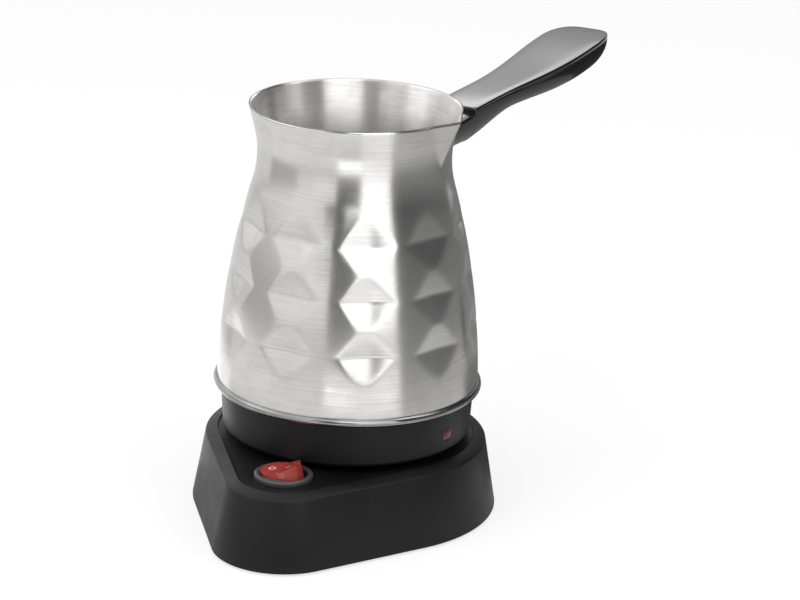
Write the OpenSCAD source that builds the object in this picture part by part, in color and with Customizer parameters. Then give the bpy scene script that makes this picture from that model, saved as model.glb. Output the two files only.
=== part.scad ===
// Electric Turkish coffee maker: a drawn steel pot with a heated collar and a long
// moulded handle, standing on a cordless base with a rocker switch in its tip.
// Millimetres. +Z is up, the origin is on the pot's axis at the table, the tip of the
// base points towards -Y and, at pot_turn 0, the spout points towards +X and the
// handle towards +Y.

/* [Pot] */
// Outer radius of the pot at its widest, just above the trim ring
foot_r = 52.6; // [49:0.1:58]
// Outer radius of the pot at its neck
neck_r = 38.4; // [34:0.1:44]
// Height of the neck above the trim ring
neck_h = 95.7; // [85:0.1:110]
// Radius of the hollow curve below the neck
neck_curve_r = 42; // [25:1:60]
// Radius of the curve from the neck to the flared rim
flare_curve_r = 38; // [20:1:60]
// Lean of the flared rim, in degrees
flare_angle = 14; // [8:0.5:18]
// Height of the rim above the trim ring
rim_h = 115.5; // [110:0.1:135]
// Thickness of the pot's sheet
sheet_t = 0.7; // [0.5:0.1:1]
// Turn of the pot on the base, in degrees
pot_turn = -5; // [-180:1:180]

/* [Spout] */
// How far the spout's tip stands out from the rim
spout_out = 4.2; // [2.5:0.1:8]
// Depth of the spout's crease below the rim
spout_depth = 19.5; // [14:0.1:26]
// Half of the angle that the spout takes of the rim
spout_half_angle = 21; // [15:0.5:28]

/* [Pressed diamonds] */
// Number of columns of diamonds round the pot
diamond_columns = 10; // [6:1:12]
// Number of rows of diamonds
diamond_rows = 3; // [1:1:3]
// Height of the lowest row's middle above the trim ring
diamond_row_h = 27.4; // [16:0.1:30]
// Distance between two rows
diamond_pitch = 21.3; // [16:0.1:22]
// Width of one diamond
diamond_w = 22.5; // [10:0.1:24]
// Height of one diamond
diamond_h = 20.8; // [8:0.1:21.2]
// Depth of one diamond
diamond_d = 2.0; // [0.8:0.1:3.4]

/* [Trim ring and collar] */
// How far the polished trim ring stands out from the pot's foot
ring_out = 1.4; // [1.2:0.1:6]
// Height of the trim ring
ring_h = 3.2; // [2.4:0.1:4]
// How far the collar's top stands in from the pot's foot
collar_step = 1.6; // [1:0.1:3]
// Height of the collar
collar_h = 17.9; // [17:0.1:24]
// How far the collar's side leans in over its height
collar_lean = 1; // [0:0.1:1.6]
// Wall of the collar
collar_t = 2.2; // [1.8:0.1:2.6]
// Thickness of the plate that closes the collar
collar_plate_t = 2.4; // [2:0.1:3]
// Free height between the base's deck and the collar
collar_gap = 2.6; // [2.4:0.1:4]
// Radius of the pilot lens
lens_r = 3; // [2:0.1:3.2]
// Height of the pilot lens above the collar's lower edge
lens_h = 8.2; // [8:0.1:12]
// Turn of the pilot lens from the spout, in degrees
lens_turn = -9; // [-20:1:20]

/* [Handle] */
// Length of the ferrule, from the pot's neck to the root of the grip
ferrule_len = 48.6; // [36:0.1:60]
// Length of the grip
grip_len = 138.5; // [110:0.5:160]
// Height of the grip's top above the pot's neck, at the grip's root
grip_up = 0.8; // [-4:0.1:4]
// Rise of the handle, in degrees
handle_rise = 3.8; // [0:0.1:8]
// How far the grip dips half-way along
grip_sway = 2; // [0:0.1:3]
// Half of the grip's width at its root
grip_root_w = 10; // [9:0.1:12]
// Half of the grip's width at its broad end
grip_end_w = 14.5; // [12:0.1:17]
// Thickness of the grip at its root
grip_root_t = 16.4; // [15:0.1:19]
// Thickness of the grip at its waist
grip_waist_t = 11.4; // [10.5:0.1:14]
// Thickness of the grip at its broad end
grip_end_t = 16; // [13:0.1:19]
// Distance from the grip's root to its waist
grip_waist_at = 41.5; // [34:0.5:60]
// Distance from the grip's broadest place to its end
grip_broad_in = 30.5; // [27:0.5:50]
// Length of the grip's rounded end
grip_round_len = 26.3; // [12:0.1:27]
// Thickness of the steel tongue inside the handle
tongue_t = 3; // [2:0.1:3.4]
// Width of the steel tongue
tongue_w = 11; // [8:0.1:13]
// Radius of the handle screw's shank
handle_screw_r = 2; // [1.5:0.1:2.4]

/* [Heater] */
// Width between the heater plate's edge and the collar's wall
heater_gap = 4.8; // [2.8:0.1:6.8]
// Thickness of the heater plate
heater_t = 3.2; // [2:0.1:3.6]
// Radius of the heating element's sheath
sheath_r = 3.3; // [2.5:0.1:3.5]
// Distance from the heater plate's edge to the middle of the element's sheath
element_inset = 10; // [8.5:0.1:11]
// Radius of the boil-dry thermostat
thermostat_r = 7.5; // [5:0.1:8]
// Height of the boil-dry thermostat
thermostat_h = 6; // [4:0.1:6]

/* [Base] */
// Width of the deck round the bezel, at the base's tip
bezel_gap = 6.3; // [4.9:0.1:12]
// Free width between the collar's lower edge and the rocker
rocker_gap = 1.4; // [1:0.1:12]
// Height of the base's wall
base_wall_h = 28.8; // [27.5:0.1:36]
// How far the wall leans in over its height
base_lean = 5.15; // [2:0.05:6]
// Width of the sloping band round the deck
band_w = 4.95; // [3:0.05:6]
// Rise of the sloping band
band_rise = 2; // [1:0.1:4]
// Depth of the deck below the band
deck_drop = 0.8; // [0.2:0.1:1.2]
// Free width between the collar and the edge of the deck
deck_gap = 0.8; // [0.4:0.1:3]
// Wall of the base's mouldings
base_t = 2.2; // [1.8:0.1:2.8]
// Height of the wall's lower edge above the table
skirt_z = 0.8; // [0.4:0.1:1.2]
// Thickness of the bottom cover
cover_t = 2.4; // [2:0.1:3]
// Radius of a rubber foot
foot_pad_r = 6; // [4:0.1:7]
// Radius of the cord hole in the bush
cord_bore_r = 3.4; // [2.5:0.1:4]

/* [Connector] */
// Radius of the hub that the pot stands on
hub_r = 16; // [15:0.1:17]
// Height of the hub above the deck
hub_h = 7; // [6:0.1:8]
// Radius of the pot's centre pin
pin_r = 2.5; // [2:0.1:3]
// Outer radius of the turning sleeve round the centre pin
sleeve_r = 4.4; // [4:0.1:4.8]
// Radial play of the hub in the pot's pocket
hub_play = 0.8; // [0.4:0.1:1.2]

/* [Switch] */
// Radius of the switch's bezel
bezel_r = 11.5; // [11:0.1:12.5]
// Thickness of the switch's bezel
bezel_t = 2; // [1.4:0.1:2.3]
// Radius of the switch's barrel
barrel_r = 10; // [9.9:0.1:10.4]
// Depth of the switch's barrel below the deck
barrel_d = 15.5; // [15:0.1:17]
// Half of the angle that the rocker swings through
rocker_tilt = 16; // [9:0.5:16]
// Half of the rocker's length
rocker_half = 7.8; // [7:0.1:7.9]
// Radius of the rocker's round sides
rocker_r = 8.1; // [7.9:0.1:8.2]

/* [Hidden] */
$fn = 96;
few = 48;            // segments round a small piece
wire_sides = 24;     // segments round a wire
eps = 0.01;          // overlap that keeps cuts clean
fit = 0.05;          // clearance all round a piece in its seat, and of a running fit
face_gap = 0.1;      // clearance between faces that part when the object moves

// Heights, from the table up
deck_z = base_wall_h + band_rise - deck_drop;
collar_z = deck_z + collar_gap;
ring_z = collar_z + collar_h;
rim_z = ring_z + rim_h;
ring_flange_t = 0.5;
pot_floor_z = ring_z + ring_flange_t;
heater_z = pot_floor_z - heater_t;
element_z = heater_z - sheath_r;
collar_plate_top = collar_z + collar_plate_t;

// The pot's outline: a belly arc, a hollow neck arc and a flare arc, each tangent to
// the next, with a straight flared lip
belly_z = ring_z - 3;
neck_z = ring_z + neck_h;
neck_drop = foot_r - neck_r;
curve_sum = (neck_drop * neck_drop + pow(neck_z - belly_z, 2)) / (2 * neck_drop);
belly_curve_r = curve_sum - neck_curve_r;
belly_end_angle = asin((neck_z - belly_z) / curve_sum);
foot_corner = 1.2;
flare_end_z = neck_z + flare_curve_r * sin(flare_angle);
flare_end_r = neck_r + flare_curve_r * (1 - cos(flare_angle));
rim_r = flare_end_r + tan(flare_angle) * (rim_z - flare_end_z);
spout_reach = rim_r + spout_out;
ring_r = foot_r + ring_out;

function belly_r(z) = foot_r - belly_curve_r + sqrt(pow(belly_curve_r, 2) - pow(z - belly_z, 2));
function smooth(t) = let (c = min(1, max(0, t))) c * c * (3 - 2 * c);
function arc(centre, r, from, to, steps) =
    [for (i = [0 : steps]) let (a = from + (to - from) * i / steps)
        centre + r * [cos(a), sin(a)]];

foot_angle = asin((pot_floor_z + foot_corner - belly_z) / belly_curve_r);

// Outer outline from the foot to the rim, moved out by grow
function pot_outline(grow = 0) =
    concat(
        arc([foot_r - belly_curve_r + grow, belly_z], belly_curve_r,
            foot_angle, belly_end_angle, 20),
        [for (i = [1 : 6]) let (a = belly_end_angle * (1 - i / 6))
            [neck_r + neck_curve_r * (1 - cos(a)) + grow, neck_z - neck_curve_r * sin(a)]],
        [for (i = [1 : 5]) let (a = flare_angle * i / 5)
            [neck_r + flare_curve_r * (1 - cos(a)) + grow, neck_z + flare_curve_r * sin(a)]]
    );

// The collar, its plate and the screws that hold them
collar_r = foot_r - collar_step;
collar_bottom_r = collar_r - collar_lean;
collar_edge = 1.5;
collar_seat_r = collar_bottom_r - 1.9;
collar_ledge_r = collar_seat_r - 1.7;
collar_ledge_h = 2.2;
lens_flange = 0.5;
post_r = 3;
post_gap = 1.8;
post_ring_r = collar_ledge_r - post_gap - post_r;
post_angles = [50, 170, 290];
collar_screw_r = 1.6;
collar_screw_head_r = 3;
collar_screw_head_h = 1.2;
collar_screw_bite = 7;

// The heater: half of the gap in its ring, its two pins and the thermostat's tabs
heater_r = collar_r - collar_t - heater_gap;
element_r = heater_r - element_inset;
element_gap = 25;
element_pin_r = 1.5;
element_pin_len = 2.7;
element_pin_z = element_z - sheath_r - element_pin_len;
thermostat_x = pin_r + thermostat_r + 0.5;
thermostat_tab = 2.5;
thermostat_tab_r = 1.2;
lead_r = 1;
lead_bend = 4;
lamp_stem_h = 8.2;
pot_lamp_r = 1.9;

// The cordless connector
hub_top = deck_z + hub_h;
hub_wall = 2.2;
pocket_r = hub_r + hub_play;
pocket_z = hub_top + face_gap;
connector_r = pocket_r + hub_wall;
connector_roof_t = 4.4;
connector_top = pocket_z + connector_roof_t;
connector_rise = 0.4;
connector_flange_w = 10;
connector_flange_r = connector_r + connector_flange_w;
connector_flange_t = 2.2;
connector_screw_ring_r = connector_r + 6;
connector_screw_r = 1.4;
connector_screw_head_r = 2.4;
connector_screw_head_h = 1.6;
pin_reach = 9;
ring_wall = 0.8;
earth_ring_r = 8;
neutral_ring_r = 12.6;
ring_reach = 6.4;
ring_seat_d = 1.5;
slot_play = 0.7;
slot_d = hub_h + 1.2;
sleeve_depth = 11.8;
sleeve_floor_z = deck_z - sleeve_depth;
sleeve_top = hub_top - face_gap;
contact_strip_w = 4;
contact_strip_t = 0.5;
contact_foot_z = 10;
tail_r = 1.2;
tail_top = connector_top + 1.5;

// The base's shell. Its rear circle follows the collar.
deck_rear_r = collar_r + deck_gap;
rear_r = deck_rear_r + band_w + base_lean;
tip_r = bezel_r + bezel_gap + band_w + base_lean;
tip_reach = collar_bottom_r + rocker_gap + rocker_r;
cover_top = skirt_z + cover_t;
ceiling_z = deck_z - base_t;
post_w = 3.5;
cover_screw_r = 1.5;
cover_screw_head_r = 3;
cover_screw_head_h = 1.2;
cover_screw_bite = 9;
rear_post_angles = [35, 145];
rear_post_gap = 1.05;
rear_post_ring_r = rear_r - base_lean - base_t - post_w - rear_post_gap;
front_post_angles = [-14, 194];
front_post_bury = 1.4;
front_post_ring_r = tip_r - base_lean - base_t - post_w + front_post_bury;
foot_pad_h = 2.2;
foot_pad_gap = 2.3;
foot_pad_edge = 0.6;
vent_w = 3;
vent_len = 24;
vent_pitch = 7;
rear_foot_angles = [55, 125];
front_foot_angles = [-58, 238];
front_foot_ring_r = tip_r - base_t - foot_pad_r - foot_pad_gap;
hub_boss_r = 3.5;
hub_boss_len = 5;
hub_flange_t = 2.5;
hub_screw_gap = 10;
hub_screw_ring_r = hub_r + hub_screw_gap;
hub_flange_edge = 4.5;
hub_flange_r = hub_screw_ring_r + hub_flange_edge;
hub_screw_r = 1.4;
hub_screw_head_r = 2.6;
hub_screw_head_h = 1.8;
hub_screw_angles = [30, 150, 270];
hub_body_r = hub_r + 2;
hub_body_d = 16;
hub_body_z = deck_z - hub_body_d;

// The cord bush in the rear wall
bush_z = 12.5;
bush_r = cord_bore_r + 2.1;
bush_flange_r = bush_r + 2;
bush_flange_t = 2;
bush_boss_r = bush_flange_r + 1.5;
bush_boss_t = 4;
bush_lip = 1;
bush_lip_t = 1.6;
bush_boss_y = rear_r - base_lean * (bush_z - bush_boss_r) / base_wall_h;

// The switch
bezel_top = deck_z + bezel_t;
pivot_drop = 3;
pivot_z = bezel_top - pivot_drop;
barrel_wall = 0.6;
cavity_r = barrel_r - barrel_wall;
cavity_half = rocker_r + 0.15;
barrel_z = deck_z - barrel_d;
barrel_floor_t = 1.5;
trunnion_r = 1.2;
trunnion_len = 1.2;
rocker_stand = 0.35;
rocker_corner_h = (pivot_drop + rocker_stand + rocker_half * sin(rocker_tilt)) / cos(rocker_tilt);
rocker_dish = 11.5;
rocker_wall = 1.3;
rocker_skirt = 1.5;
rocker_room = 2 * (rocker_half + rocker_r);
plunger_r = 1.5;
plunger_guide_r = 2.7;
plunger_guide_d = 4.4;
plunger_guide_up = 2.9;
plunger_bore_up = 2;
plunger_tip_d = 7.7;
plunger_top_d = 1.9;
blade_z = pivot_z - 9.6;
blade_t = 0.6;
blade_half = 6.4;
blade_w = 4;
blade_tilt = 4.5;
terminal_w = 4.8;
terminal_t = 0.8;
terminal_foot_z = barrel_z - 7.5;
switch_lead_r = 1.2;
switch_lead_up = 2;
lamp_r = 1.9;
lamp_len = 8.6;
lamp_y = 5.5;
lamp_z = pivot_z - 7.7;
clip_w = 5;
clip_out = 0.9;
spring_wire_r = 0.2;
spring_turns = 5;
spring_steps = 16;
spring_bottom_d = 1;

// Top of the fixed contact, just under the blade's end when it is down
contact_top = blade_z - (blade_half + terminal_t / 2) * sin(blade_tilt)
    - blade_t / 2 / cos(blade_tilt) - face_gap;

// The handle, in its own frame: x along the grip from its root, z up from its top face
grip_root = neck_r + ferrule_len;
grip_root_z = neck_z + grip_up;
ferrule_bury = 6;
ferrule_root = ferrule_len - 2.6;
ferrule_w = 9.7;
ferrule_top_d = 1.8;
ferrule_bottom_d = 16.1;
ferrule_root_d = 12.4;
tongue_top_d = 6.4;
tongue_in_grip = 25;
saddle_t = 1.2;
saddle_half_angle = 17;
saddle_h = 14;
saddle_z = neck_z - saddle_h;
shoulder_t = 2.2;
handle_screw_x = 13;
handle_screw_head_r = handle_screw_r + 1.6;
handle_screw_head_h = 2.2;
handle_screw_sink = 3;
grip_neck_len = 30;
grip_broad_at = grip_len - grip_broad_in;
grip_round_at = grip_len - grip_round_len;
// How bluntly the grip's rounded end closes, in width and in thickness
grip_blunt_w = 0.4;
grip_blunt_t = 0.3;

// ---------------------------------------------------------------- shared shapes

module on_pot() {
    rotate([0, 0, pot_turn]) children();
}

module on_handle() {
    rotate([0, 0, pot_turn + 90])
        translate([grip_root, 0, grip_root_z])
            rotate([0, -handle_rise, 0]) children();
}

// Copies round the Z axis at the named angles
module at_angles(angles, r) {
    for (a = angles) rotate([0, 0, a]) translate([r, 0, 0]) children();
}

// The base's plan as a solid whose sides lean in from one inset to another
module teardrop(z, h, inset, top_inset) {
    hull() {
        translate([0, 0, z])
            cylinder(r1 = rear_r - inset, r2 = rear_r - top_inset, h = h);
        translate([0, -tip_reach, z])
            cylinder(r1 = tip_r - inset, r2 = tip_r - top_inset, h = h);
    }
}

function lean_at(z) = base_lean * z / base_wall_h;

// A screw with its head down: the head's top face is at z = 0 and the shank goes up
module screw(shank_r, shank_len, head_r, head_h) {
    translate([0, 0, -head_h])
        difference() {
            cylinder(r = head_r, h = head_h);
            for (a = [0, 90]) rotate([0, 0, a])
                cube([head_r * 1.2, head_r * 0.24, head_h], center = true);
        }
    translate([0, 0, -eps]) cylinder(r = shank_r, h = shank_len + eps);
}

// A round wire along a route, with a small ball at each corner and flat ends
module wire(route, r) {
    for (i = [0 : len(route) - 2]) {
        d = route[i + 1] - route[i];
        translate(route[i])
            rotate([0, acos(d[2] / norm(d)), atan2(d[1], d[0])])
                cylinder(r = r, h = norm(d), $fn = wire_sides);
    }
    for (i = [1 : len(route) - 2])
        translate(route[i]) sphere(r = r * 1.06, $fn = wire_sides);
}

// Everything inside the pot's outer outline moved out by grow, from floor_z to top above
// the rim
module pot_solid(grow = 0, floor_z = pot_floor_z, top = 0) {
    outline = pot_outline(grow);
    rotate_extrude()
        polygon(concat(
            [[0, floor_z], [outline[0][0] - foot_corner, floor_z]],
            outline,
            [[rim_r + grow + tan(flare_angle) * top, rim_z + top], [0, rim_z + top]]
        ));
}

// Corners of one pressed diamond's cutter: its point is inside the sheet, its four edges
// run out through the diamond's corners by the factor beyond, and its back is outside
function diamond_points(turn, z, inward, beyond = 1.5) = let (
        half_angle = asin(diamond_w / 2 / belly_r(z)),
        r = belly_r(z) - inward,
        up = belly_r(z + diamond_h / 2) - inward,
        down = belly_r(z - diamond_h / 2) - inward,
        tip = [(r - diamond_d) * cos(turn), (r - diamond_d) * sin(turn), z],
        corners = [
            [up * cos(turn), up * sin(turn), z + diamond_h / 2],
            [r * cos(turn + half_angle), r * sin(turn + half_angle), z],
            [down * cos(turn), down * sin(turn), z - diamond_h / 2],
            [r * cos(turn - half_angle), r * sin(turn - half_angle), z]
        ],
        back = [(r + 4) * cos(turn), (r + 4) * sin(turn), z]
    )
    concat([tip], [for (corner = corners) tip + (corner - tip) * beyond], [back]);

diamond_faces = [for (tip = [0, 5]) for (i = [0 : 3]) let (j = 1 + i, k = 1 + (i + 1) % 4)
    tip == 0 ? [tip, k, j] : [tip, j, k]];

// All the diamonds' cutters, moved in by inward
module diamonds(inward) {
    step = 360 / diamond_columns;
    for (column = [0 : diamond_columns - 1]) for (row = [0 : diamond_rows - 1])
        polyhedron(
            diamond_points((column + 0.5) * step, ring_z + diamond_row_h + row * diamond_pitch, inward),
            diamond_faces
        );
}

// The spout's wedge: a crease up to a tip, between two points of the rim, with its back
// on the pot's axis
module spout_wedge(inward, top) {
    a = spout_half_angle;
    r = rim_r - inward;
    z = rim_z + top;
    crease_z = rim_z - spout_depth + inward;
    points = [
        [spout_reach - inward * 1.5, 0, z],
        [neck_r - inward, 0, crease_z],
        [r * cos(a), r * sin(a), z],
        [r * cos(a), -r * sin(a), z],
        [0, 0, z],
        [0, 0, crease_z]
    ];
    polyhedron(points, [
        [0, 2, 1], [0, 1, 3], [0, 4, 2], [0, 3, 4],
        [1, 2, 5], [1, 5, 3], [2, 4, 5], [3, 5, 4]
    ]);
}

// A section of the handle: a flat top with round shoulders and a deep round belly
function handle_section(x, w, top, bottom, sides = 32) =
    let (mid = top - min(shoulder_t, (top - bottom) / 3))
    [for (i = [0 : sides - 1]) let (a = 360 * i / sides, c = cos(a), s = sin(a))
        s >= 0
            ? [x, sign(c) * w * sqrt(abs(c)), mid + (top - mid) * sqrt(s)]
            : [x, w * c, mid - (mid - bottom) * pow(-s, 0.9)]];

// A closed skin over a row of sections with the same number of points
module loft(sections) {
    n = len(sections[0]);
    rows = len(sections);
    polyhedron(
        [for (section = sections) for (p = section) p],
        concat(
            [[for (j = [0 : n - 1]) j]],
            [for (i = [0 : rows - 2]) for (j = [0 : n - 1])
                let (k = (j + 1) % n)
                    [i * n + j, (i + 1) * n + j, (i + 1) * n + k, i * n + k]],
            [[for (j = [n - 1 : -1 : 0]) (rows - 1) * n + j]]
        )
    );
}

// ---------------------------------------------------------------- the pot

module pot_shell() {
    color("silver") on_pot()
        difference() {
            union() {
                pot_solid();
                spout_wedge(0, 0);
            }
            diamonds(0);
            difference() {
                pot_solid(-sheet_t, pot_floor_z + sheet_t, 1);
                diamonds(sheet_t);
            }
            spout_wedge(sheet_t, eps);
        }
}

module trim_ring() {
    bead = ring_h / 2;
    color("gainsboro") on_pot()
        difference() {
            rotate_extrude() {
                translate([ring_r - bead, ring_z + bead]) circle(r = bead);
                translate([foot_r - ring_h, ring_z])
                    square([ring_r - bead - foot_r + ring_h, ring_h / 2]);
            }
            pot_solid();
        }
}

module heater_plate() {
    color("darkgray") on_pot() translate([0, 0, heater_z]) cylinder(r = heater_r, h = heater_t);
}

module heating_element() {
    color("dimgray") on_pot() {
        rotate([0, 0, element_gap - 180])
            rotate_extrude(angle = 360 - 2 * element_gap)
                translate([element_r, element_z]) circle(r = sheath_r, $fn = few);
        at_angles([180 - element_gap, 180 + element_gap], element_r) {
            translate([0, 0, element_z]) sphere(r = sheath_r, $fn = few);
            translate([0, 0, element_pin_z])
                cylinder(r = element_pin_r, h = element_z - element_pin_z);
        }
    }
}

module boil_dry_thermostat() {
    color("saddlebrown") on_pot() translate([thermostat_x, 0, heater_z - thermostat_h]) {
        cylinder(r = thermostat_r, h = thermostat_h);
        for (side = [0, 180])
            rotate([0, 0, side])
                translate([0, thermostat_r - 1, thermostat_h / 2]) rotate([-90, 0, 0])
                    cylinder(r = thermostat_tab_r, h = thermostat_tab + 1);
    }
}

module spacer_posts() {
    color("silver") on_pot() at_angles(post_angles, post_ring_r)
        difference() {
            translate([0, 0, collar_plate_top])
                cylinder(r = post_r, h = heater_z - collar_plate_top, $fn = 6);
            translate([0, 0, collar_plate_top - eps])
                cylinder(r = collar_screw_r, h = collar_screw_bite + 1);
        }
}

module collar() {
    color("black") on_pot()
        difference() {
            rotate_extrude()
                polygon([
                    [collar_seat_r, collar_z],
                    [collar_bottom_r - collar_edge, collar_z],
                    [collar_bottom_r - collar_edge * 0.4, collar_z + collar_edge * 0.3],
                    [collar_bottom_r, collar_z + collar_edge],
                    [collar_r, ring_z],
                    [collar_r - collar_t, ring_z],
                    [collar_r - collar_t, collar_plate_top + collar_ledge_h],
                    [collar_ledge_r, collar_plate_top + collar_ledge_h],
                    [collar_ledge_r, collar_plate_top],
                    [collar_seat_r, collar_plate_top]
                ]);
            lens_frame() translate([0, 0, -2 * collar_t])
                cylinder(r = lens_r + fit, h = 4 * collar_t);
        }
}

// The lens's own frame: its axis along z, pointing out of the collar
module lens_frame() {
    rotate([0, 0, lens_turn])
        translate([collar_r - collar_lean / 2, 0, collar_z + lens_h])
            rotate([0, 90, 0]) children();
}

module pilot_lens() {
    color("darkred") on_pot() lens_frame() {
        translate([0, 0, -collar_t - 0.6]) cylinder(r = lens_r, h = collar_t + 0.7);
        intersection() {
            cylinder(r = lens_r, h = 1);
            translate([0, 0, 0.7 - lens_r * 2]) sphere(r = lens_r * 2);
        }
        translate([0, 0, -collar_t - 1.6]) cylinder(r = lens_r + lens_flange, h = 1);
    }
}

module pilot_lamp() {
    color("orange") on_pot() rotate([0, 0, lens_turn])
        translate([collar_ledge_r - pot_lamp_r - 0.3, 0, collar_plate_top]) {
            cylinder(r = pot_lamp_r, h = lamp_stem_h, $fn = few);
            translate([0, 0, lamp_stem_h]) sphere(r = pot_lamp_r, $fn = few);
        }
}

module collar_plate() {
    color("black") on_pot()
        difference() {
            translate([0, 0, collar_z]) cylinder(r = collar_seat_r - fit, h = collar_plate_t);
            translate([0, 0, collar_z - eps])
                cylinder(r = connector_r + fit, h = collar_plate_t + 2 * eps);
            at_angles(post_angles, post_ring_r) translate([0, 0, collar_z - eps]) {
                cylinder(r = collar_screw_head_r + 2 * fit, h = collar_screw_head_h + eps);
                cylinder(r = collar_screw_r + fit, h = collar_plate_t + 2 * eps);
            }
            at_angles(post_angles, connector_screw_ring_r) translate([0, 0, collar_z - eps])
                cylinder(r = connector_screw_r, h = collar_plate_t + 2 * eps);
        }
}

module collar_screws() {
    color("silver") on_pot() at_angles(post_angles, post_ring_r)
        translate([0, 0, collar_z + collar_screw_head_h])
            screw(collar_screw_r, collar_plate_t - collar_screw_head_h + collar_screw_bite,
                  collar_screw_head_r, collar_screw_head_h);
}

module pot_connector() {
    color("dimgray") on_pot()
        difference() {
            union() {
                translate([0, 0, collar_z + connector_rise])
                    cylinder(r = connector_r, h = connector_top - collar_z - connector_rise);
                translate([0, 0, collar_plate_top])
                    cylinder(r = connector_flange_r, h = connector_flange_t);
            }
            translate([0, 0, collar_z]) cylinder(r = pocket_r, h = pocket_z - collar_z);
            translate([0, 0, pocket_z - eps]) cylinder(r = pin_r, h = connector_roof_t + 2 * eps);
            for (r = [earth_ring_r, neutral_ring_r])
                translate([0, 0, pocket_z - eps]) ring_tube(r, ring_seat_d + eps);
            ring_tails() translate([0, 0, pocket_z])
                cylinder(r = tail_r, h = connector_roof_t + eps);
            at_angles(post_angles, connector_screw_ring_r) translate([0, 0, collar_plate_top - eps])
                cylinder(r = connector_screw_r + fit, h = connector_flange_t + 2 * eps);
        }
}

module ring_tube(r, h) {
    difference() {
        cylinder(r = r, h = h);
        translate([0, 0, -1]) cylinder(r = r - ring_wall, h = h + 2);
    }
}

// Where the tails of the earth ring and the neutral ring stand
module ring_tails() {
    rotate([0, 0, 120]) translate([earth_ring_r - ring_wall / 2, 0, 0]) children();
    rotate([0, 0, 180]) translate([neutral_ring_r - ring_wall / 2, 0, 0]) children();
}

module connector_screws() {
    color("silver") on_pot() at_angles(post_angles, connector_screw_ring_r)
        translate([0, 0, collar_plate_top + connector_flange_t]) rotate([180, 0, 0])
            screw(connector_screw_r, connector_flange_t + collar_plate_t - connector_rise,
                  connector_screw_head_r, connector_screw_head_h);
}

module centre_pin() {
    color("gold") on_pot() {
        translate([0, 0, pocket_z - pin_reach + pin_r / 2])
            cylinder(r = pin_r, h = connector_roof_t + pin_reach - pin_r / 2);
        translate([0, 0, pocket_z - pin_reach]) cylinder(r1 = pin_r / 2, r2 = pin_r, h = pin_r / 2);
        translate([0, 0, connector_top - eps]) cylinder(r = tail_r, h = tail_top - connector_top);
    }
}

module contact_rings() {
    color("gold") on_pot() {
        for (r = [earth_ring_r, neutral_ring_r])
            translate([0, 0, pocket_z - ring_reach]) ring_tube(r, ring_reach + ring_seat_d);
        ring_tails() translate([0, 0, pocket_z + 1])
            cylinder(r = tail_r, h = tail_top - pocket_z - 1);
    }
}

module pot_leads() {
    level = heater_z - thermostat_h / 2;
    tab_y = thermostat_r + thermostat_tab;
    pin_x = element_r * cos(180 - element_gap);
    pin_y = element_r * sin(180 - element_gap);
    pin_level = element_pin_z + lead_r;
    drop_x = pin_x + sheath_r + lead_r + 2.5;
    neutral_x = -(neutral_ring_r - ring_wall / 2);
    earth_x = (earth_ring_r - ring_wall / 2) * cos(120);
    earth_y = (earth_ring_r - ring_wall / 2) * sin(120);
    color("white") on_pot() {
        wire([[0, 0, tail_top], [0, 0, level], [0, -tab_y - lead_bend, level],
              [thermostat_x, -tab_y - lead_bend, level], [thermostat_x, -tab_y, level]], lead_r);
        wire([[thermostat_x, tab_y, level], [thermostat_x, pin_y, level], [drop_x, pin_y, level],
              [drop_x, pin_y, pin_level], [pin_x + element_pin_r, pin_y, pin_level]], lead_r);
        wire([[neutral_x, 0, tail_top], [neutral_x, 0, level], [neutral_x, -pin_y, level],
              [drop_x, -pin_y, level], [drop_x, -pin_y, pin_level],
              [pin_x + element_pin_r, -pin_y, pin_level]], lead_r);
        wire([[earth_x, earth_y, tail_top], [earth_x, earth_y, heater_z]], lead_r);
    }
}

// ---------------------------------------------------------------- the handle

module handle_bracket() {
    color("silver") difference() {
        union() {
            on_pot() rotate([0, 0, 90 - saddle_half_angle])
                intersection() {
                    rotate_extrude(angle = 2 * saddle_half_angle)
                        translate([neck_r / 2, saddle_z]) square([neck_r, saddle_h]);
                    pot_solid(saddle_t);
                }
            on_handle() translate([-ferrule_len, -tongue_w / 2, -tongue_top_d - tongue_t])
                cube([ferrule_len + tongue_in_grip, tongue_w, tongue_t]);
        }
        on_pot() pot_solid();
        on_handle() translate([handle_screw_x, 0, -grip_root_t])
            cylinder(r = handle_screw_r, h = grip_root_t);
    }
}

module handle_ferrule() {
    reach = ferrule_root + ferrule_bury;
    sections = [for (i = [4 : -1 : 0]) let (x = -reach * i / 4, t = -x / ferrule_root)
        handle_section(x, ferrule_w, -ferrule_top_d,
                       -ferrule_bottom_d + t * (ferrule_bottom_d - ferrule_root_d))];
    color([0.06, 0.06, 0.06]) difference() {
        on_handle() difference() {
            loft(sections);
            translate([-reach - 1, -tongue_w / 2 - fit, -tongue_top_d - tongue_t - fit])
                cube([reach + 2, tongue_w + 2 * fit, tongue_t + 2 * fit]);
        }
        on_pot() pot_solid(saddle_t);
    }
}

function grip_half_w(x) = (grip_root_w + (grip_end_w - grip_root_w)
    * smooth((x - grip_neck_len) / (grip_broad_at - grip_neck_len))) * grip_round(x, grip_blunt_w);
function grip_thick(x) = (x < grip_waist_at
    ? grip_root_t + (grip_waist_t - grip_root_t) * smooth(x / grip_waist_at)
    : grip_waist_t + (grip_end_t - grip_waist_t)
        * smooth((x - grip_waist_at) / (grip_broad_at - grip_waist_at))) * grip_round(x, grip_blunt_t);
function grip_top(x) = -grip_sway * pow(sin(180 * x / grip_len), 2)
    - grip_end_t * grip_blunt_t * (1 - grip_round(x, grip_blunt_t));
function grip_round(x, power) = x < grip_round_at ? 1
    : pow(max(0.004, 1 - pow((x - grip_round_at) / grip_round_len, 2)), power);

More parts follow.
